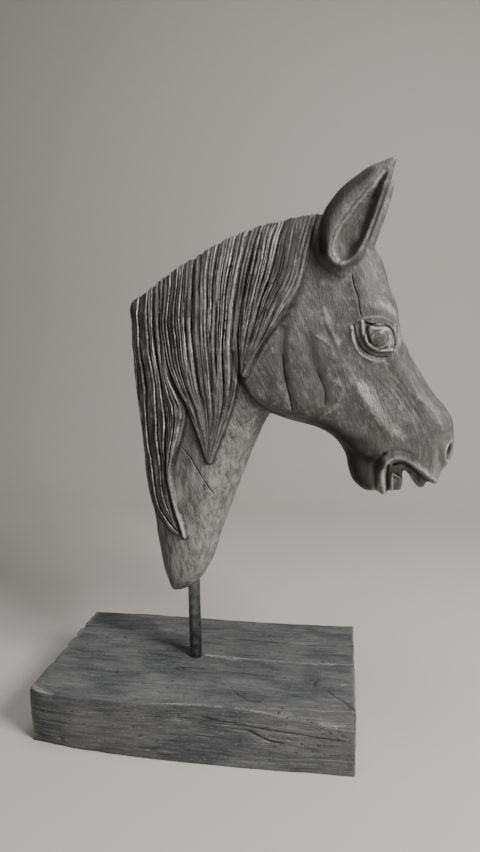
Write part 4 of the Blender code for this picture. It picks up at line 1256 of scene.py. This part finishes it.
# %% [markdown]
# Each mask says where one coat goes: the dark line of painted shade in a groove, the pale shoulder beside
# it (dry brush and a painted highlight), a crack, the painted shade of a hollow and of a fine dip, and a
# fine ridge. Ragged edges come from adding noise before the ramp.

# %% Find where each coat goes
across = abs(phase - phase.math("ROUND", phase)) * pitch + (speck - 0.5) * 1.5 + (blotch - 0.5) * 0.8
# The line mask is painted shade in each strand's groove.
line = wood.ramp(across, 1.3, 0.5) * groove
# The shoulder mask: pale chalk and a painted highlight beside each groove.
shoulder_chalk_and_highlight = wood.ramp(across, 0.9, 1.3) * wood.ramp(across, 2.0, 1.4) * groove \
    * wood.ramp(gaps, 0.40, 0.58, 0.15)
crack = wood.ramp(abs(wood.attribute("crack")) + (speck - 0.5) * 0.5, 0.8, 0.3) * cracked
# Painted shade in broad hollows and in fine dips.
hollow_shade = wood.ramp(broad, -0.15, -2.4)
crease_shade = wood.ramp(fine, -0.03, -0.30) * (1 - lock * 0.45)
ridge = wood.ramp(fine, 0.02, 0.24) * (1 - lock * 0.75) * (1 - cracked * 0.9)
bare = wood.ramp(brushing_and_painted_light, 0.1, 1.0)
rubbed = blotch * (0.40 - neck * 0.25) + streak * (0.40 + neck * 0.25) + speck * 0.2 + brushing_and_painted_light * 0.10

# %% [markdown]
# A painter works from the ground colour up: stain first, then the worn flats, the hair, the chalky edges
# with their painted highlight, and the painted shade in every cut last. The coats are laid in the same
# order here.

# %% Lay the coats of the carved wood
DARK, BODY, BROWN = (0.005, 0.0047, 0.0045), (0.056, 0.0545, 0.052), (0.062, 0.0545, 0.047)
# The palest colour is chalk with a painted highlight, for the shoulders of the strands.
BLUE, PALE, CHALK_AND_HIGHLIGHT = (0.050, 0.055, 0.061), (0.37, 0.356, 0.333), (0.66, 0.64, 0.60)

tone = wood.layers(
    BODY,
    (wood.ramp(mottle, 0.42, 0.66), BROWN),
    (wood.ramp(blotch, 0.50, 0.68) * 0.8, BLUE),
    (wood.ramp(rubbed, 0.46, 0.78 + neck * 0.12) * plain * 0.75, PALE),
    (wood.ramp(scratch + brushing_and_painted_light * 0.10, 0.60, 0.72) * plain * (0.30 + bare * 0.6), PALE),
    (wood.ramp(hair + blotch * 0.4, 0.70, 0.90) * lock * 0.60, PALE),
    (neck * plain * wood.ramp(stain, 0.35, 0.65, 0.05, 0.35), PALE),
    (wood.ramp(fibre, 0.42, 0.28) * plain * 0.5, DARK),
    (wood.ramp(hair, 0.49, 0.36) * lock * 0.85, DARK),
    ((wood.ramp(tuft, 0.52, 0.38) * 0.75).most(0.35) * lock, DARK),
    (wood.ramp(tuft + hair * 0.5, 0.76, 0.98) * lock * 0.5, PALE),
    ((ridge * wood.ramp(speck + blotch, 0.7, 1.1) * 0.85).least(1.0), PALE),
    # Pale chalk and a painted highlight on the shoulders beside the grooves.
    (shoulder_chalk_and_highlight * wood.ramp(hair + speck, 0.84, 1.04) * 0.95, CHALK_AND_HIGHLIGHT),
    # Painted shade: the dark strokes, the hollows, the fine dips, and the grooves with their undercuts.
    (wood.ramp(brushing_and_painted_light, -0.1, -1.3) * 0.93, DARK),
    (hollow_shade * 0.8, DARK),
    (crease_shade * 0.9, DARK),
    ((line * 0.98).most(undercut * 0.4), DARK),
    # Pale dry brushing, with the painted glint of the eye.
    (wood.ramp(brushing_and_painted_light, 0.55, 1.5) * wood.ramp(speck + streak, 0.85, 1.15) * 0.85, PALE),
    (crack, DARK))
relief = (fibre * 0.5 + scratch * 0.35 + streak * 0.3) * plain + hair * 0.9 * lock \
    - line * 0.8 - crack + speck * 0.25
carved_wood = wood.finish(Base_Color=tone, Roughness=wood.ramp(blotch, 0.3, 0.7, 0.46, 0.68),
                          Normal=wood.bump(relief, 0.0013, 0.9))
print("carved wood", len(wood.tree.nodes), "nodes")

# %% [markdown]
# ## The timber
# Weathered softwood: silver grey ridges, near black between them, bluish where it has got wet, and pale
# where the edge is rubbed bare. Wherever the surface is sunk it is painted darker, as shade.

# %% Mix the timber
timber = Finish("weathered_timber")
spot = timber.place()
ring = timber.attribute("ring", "Vector")
sunk, worn, rubbed, split = (timber.attribute(name) for name in ("sunk", "worn", "rubbed", "split"))
lines = timber.noise(timber.scaled(ring, (0.028, 1.0, 1.0)), 1.1, 5.0, 0.8, 0.1)
bands = timber.noise(timber.scaled(ring, (0.02, 0.3, 1.0)), 1.0, 3.0, 0.55, 0.3)
flecks = timber.noise(timber.scaled(ring, (0.3, 1.0, 1.0)), 1.3, 4.0, 0.8, 0.2)
pits = timber.noise(timber.scaled(ring, (0.4, 0.8, 1.0)), 3.2, 2.0, 0.5, 0.2)
patch = timber.noise(timber.scaled(spot, (0.4, 1, 1)), 34.0, 3.0, 0.6)
speck = timber.noise(spot, 1.1, 3.0, 0.7)
pitted = timber.ramp(pits, 0.36, 0.30) * timber.ramp(patch, 0.50, 0.40)
DEEP, GREY, SLATE = (0.006, 0.006, 0.006), (0.108, 0.109, 0.110), (0.055, 0.058, 0.062)
SILVER, TAN, BARE = (0.36, 0.36, 0.355), (0.15, 0.130, 0.108), (0.50, 0.48, 0.44)

tone = timber.layers(
    GREY,
    (timber.ramp(patch, 0.4, 0.62), SLATE),
    (timber.ramp(patch, 0.40, 0.26) * 0.18, SILVER),
    (timber.ramp(bands, 0.5, 0.8) * 0.22, SILVER),
    (timber.ramp(lines, 0.52, 0.70) * 0.55, SILVER),
    (timber.ramp(flecks, 0.56, 0.68) * 0.55, SILVER),
    (timber.ramp(lines, 0.47, 0.34) * 0.85, DEEP),
    (timber.ramp(flecks, 0.43, 0.33) * 0.85, DEEP),
    (pitted * 0.9, DEEP),
    # Painted shade, darker the deeper the surface is sunk.
    (timber.ramp(sunk, 0.8, 3.0) * 0.75, DEEP),
    (worn * timber.ramp(lines + speck, 0.8, 1.2) * 0.45, TAN),
    (rubbed * timber.ramp(lines + speck + patch * 0.6, 1.24, 1.48) * 0.9, BARE),
    (timber.ramp(abs(split) + (speck - 0.5) * 0.8, 1.1, 0.3) * 0.9, DEEP))
relief = lines * 0.8 + flecks * 0.5 + speck * 0.15 - pitted * 0.6
weathered_timber = timber.finish(Base_Color=tone, Roughness=timber.ramp(patch, 0.3, 0.7, 0.68, 0.85),
                                 Normal=timber.bump(relief, 0.0016, 1.0))
print("timber", len(timber.tree.nodes), "nodes")

# %% [markdown]
# ## The steel
# The bar is bare mild steel, darkened and a little bluish, with fine lines from drawing it
# through the die and a few dull spots.

# %% Mix the steel
steel = Finish("dark_steel")
spot = steel.place()
drawn = steel.noise(steel.scaled(spot, (1, 1, 0.03)), 0.5, 3.0, 0.6)
dull = steel.noise(spot, 7.0, 3.0, 0.6)
tone = steel.layers((0.11, 0.115, 0.125), (steel.ramp(dull, 0.35, 0.7), (0.20, 0.205, 0.21)))
dark_steel = steel.finish(Base_Color=tone, Metallic=1.0,
                          Roughness=steel.ramp(dull * 0.6 + drawn * 0.4, 0.35, 0.65, 0.30, 0.46),
                          Normal=steel.bump(drawn, 0.0002, 0.35))
print("steel", len(steel.tree.nodes), "nodes")

# %% [markdown]
# ## Put the pieces on the frame
# Each piece rides on the one body of the model and stands for its CAD solid.

# %% Dress the frame
for piece, finish, node, slot in ((carving, carved_wood, "horse_head", "carved_wood"),
                                  (rod, dark_steel, "rod", "rod_steel"),
                                  (block, weathered_timber, "plinth", "plinth_timber")):
    piece.data.materials.clear()
    piece.data.materials.append(finish)
    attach(piece, "root")
    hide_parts(node)

# %% [markdown]
# ## The studio
# A plain pale sweep: the floor runs back and curves up into the backdrop, so there is no line
# behind the sculpture. It is one edge extruded along a quarter circle by a spin.

# %% Floor and light
SWEEP_WIDTH, SWEEP_FRONT, SWEEP_BACK, SWEEP_RADIUS, SWEEP_TOP = 7.0, -2.5, 0.9, 0.7, 3.2
work = bmesh.new()
left = work.verts.new((-SWEEP_WIDTH / 2, SWEEP_FRONT, 0))
right = work.verts.new((SWEEP_WIDTH / 2, SWEEP_FRONT, 0))
edge = [work.edges.new((left, right))]
floor_part = bmesh.ops.extrude_edge_only(work, edges=edge)["geom"]
moved = [g for g in floor_part if isinstance(g, bmesh.types.BMVert)]
bmesh.ops.translate(work, verts=moved, vec=(0, SWEEP_BACK - SWEEP_FRONT, 0))
edge = [g for g in floor_part if isinstance(g, bmesh.types.BMEdge) and all(v in moved for v in g.verts)]
spun = bmesh.ops.spin(work, geom=edge + moved, cent=(0, SWEEP_BACK, SWEEP_RADIUS), axis=(1, 0, 0),
                      angle=math.pi / 2, steps=24, use_merge=False)["geom_last"]
edge = [g for g in spun if isinstance(g, bmesh.types.BMEdge)]
wall_part = bmesh.ops.extrude_edge_only(work, edges=edge)["geom"]
moved = [g for g in wall_part if isinstance(g, bmesh.types.BMVert)]
bmesh.ops.translate(work, verts=moved, vec=(0, 0, SWEEP_TOP))
bmesh.ops.remove_doubles(work, verts=work.verts, dist=0.0001)
bmesh.ops.recalc_face_normals(work, faces=work.faces)
sweep = place_object("studio_sweep", new_mesh("studio_sweep", work))
shade_smooth(sweep.data)
paper = Finish("pale_paper")
sweep.data.materials.append(paper.finish(Base_Color=(0.50, 0.475, 0.445), Roughness=0.9))

world = bpy.data.worlds.new("studio")
bpy.context.scene.world = world
world.use_nodes = True
background = world.node_tree.nodes["Background"]
background.inputs["Color"].default_value = (0.84, 0.84, 0.85, 1)
background.inputs["Strength"].default_value = 0.12


def softbox(name, place, aim, size, power, colour):
    lamp = bpy.data.lights.new(name, "AREA")
    lamp.shape = "RECTANGLE"
    lamp.size, lamp.size_y = size
    lamp.energy = power
    lamp.color = colour
    item = bpy.data.objects.new(name, lamp)
    item.location = place
    item.rotation_euler = (Vector(aim) - Vector(place)).to_track_quat("-Z", "Y").to_euler()
    bpy.context.scene.collection.objects.link(item)


AIM = (0.08, 0.0, 0.38)     # metres, the middle of the sculpture
softbox("key", (1.35, -0.80, 1.25), AIM, (0.6, 0.6), 52.0, (1.0, 0.99, 0.97))
softbox("fill", (-1.5, -1.6, 0.8), AIM, (1.6, 1.6), 2.2, (0.96, 0.98, 1.0))
softbox("top", (0.2, -0.2, 2.0), AIM, (0.9, 0.9), 15.0, (1.0, 1.0, 1.0))
print("studio", round(time.time() - START, 1), "s")
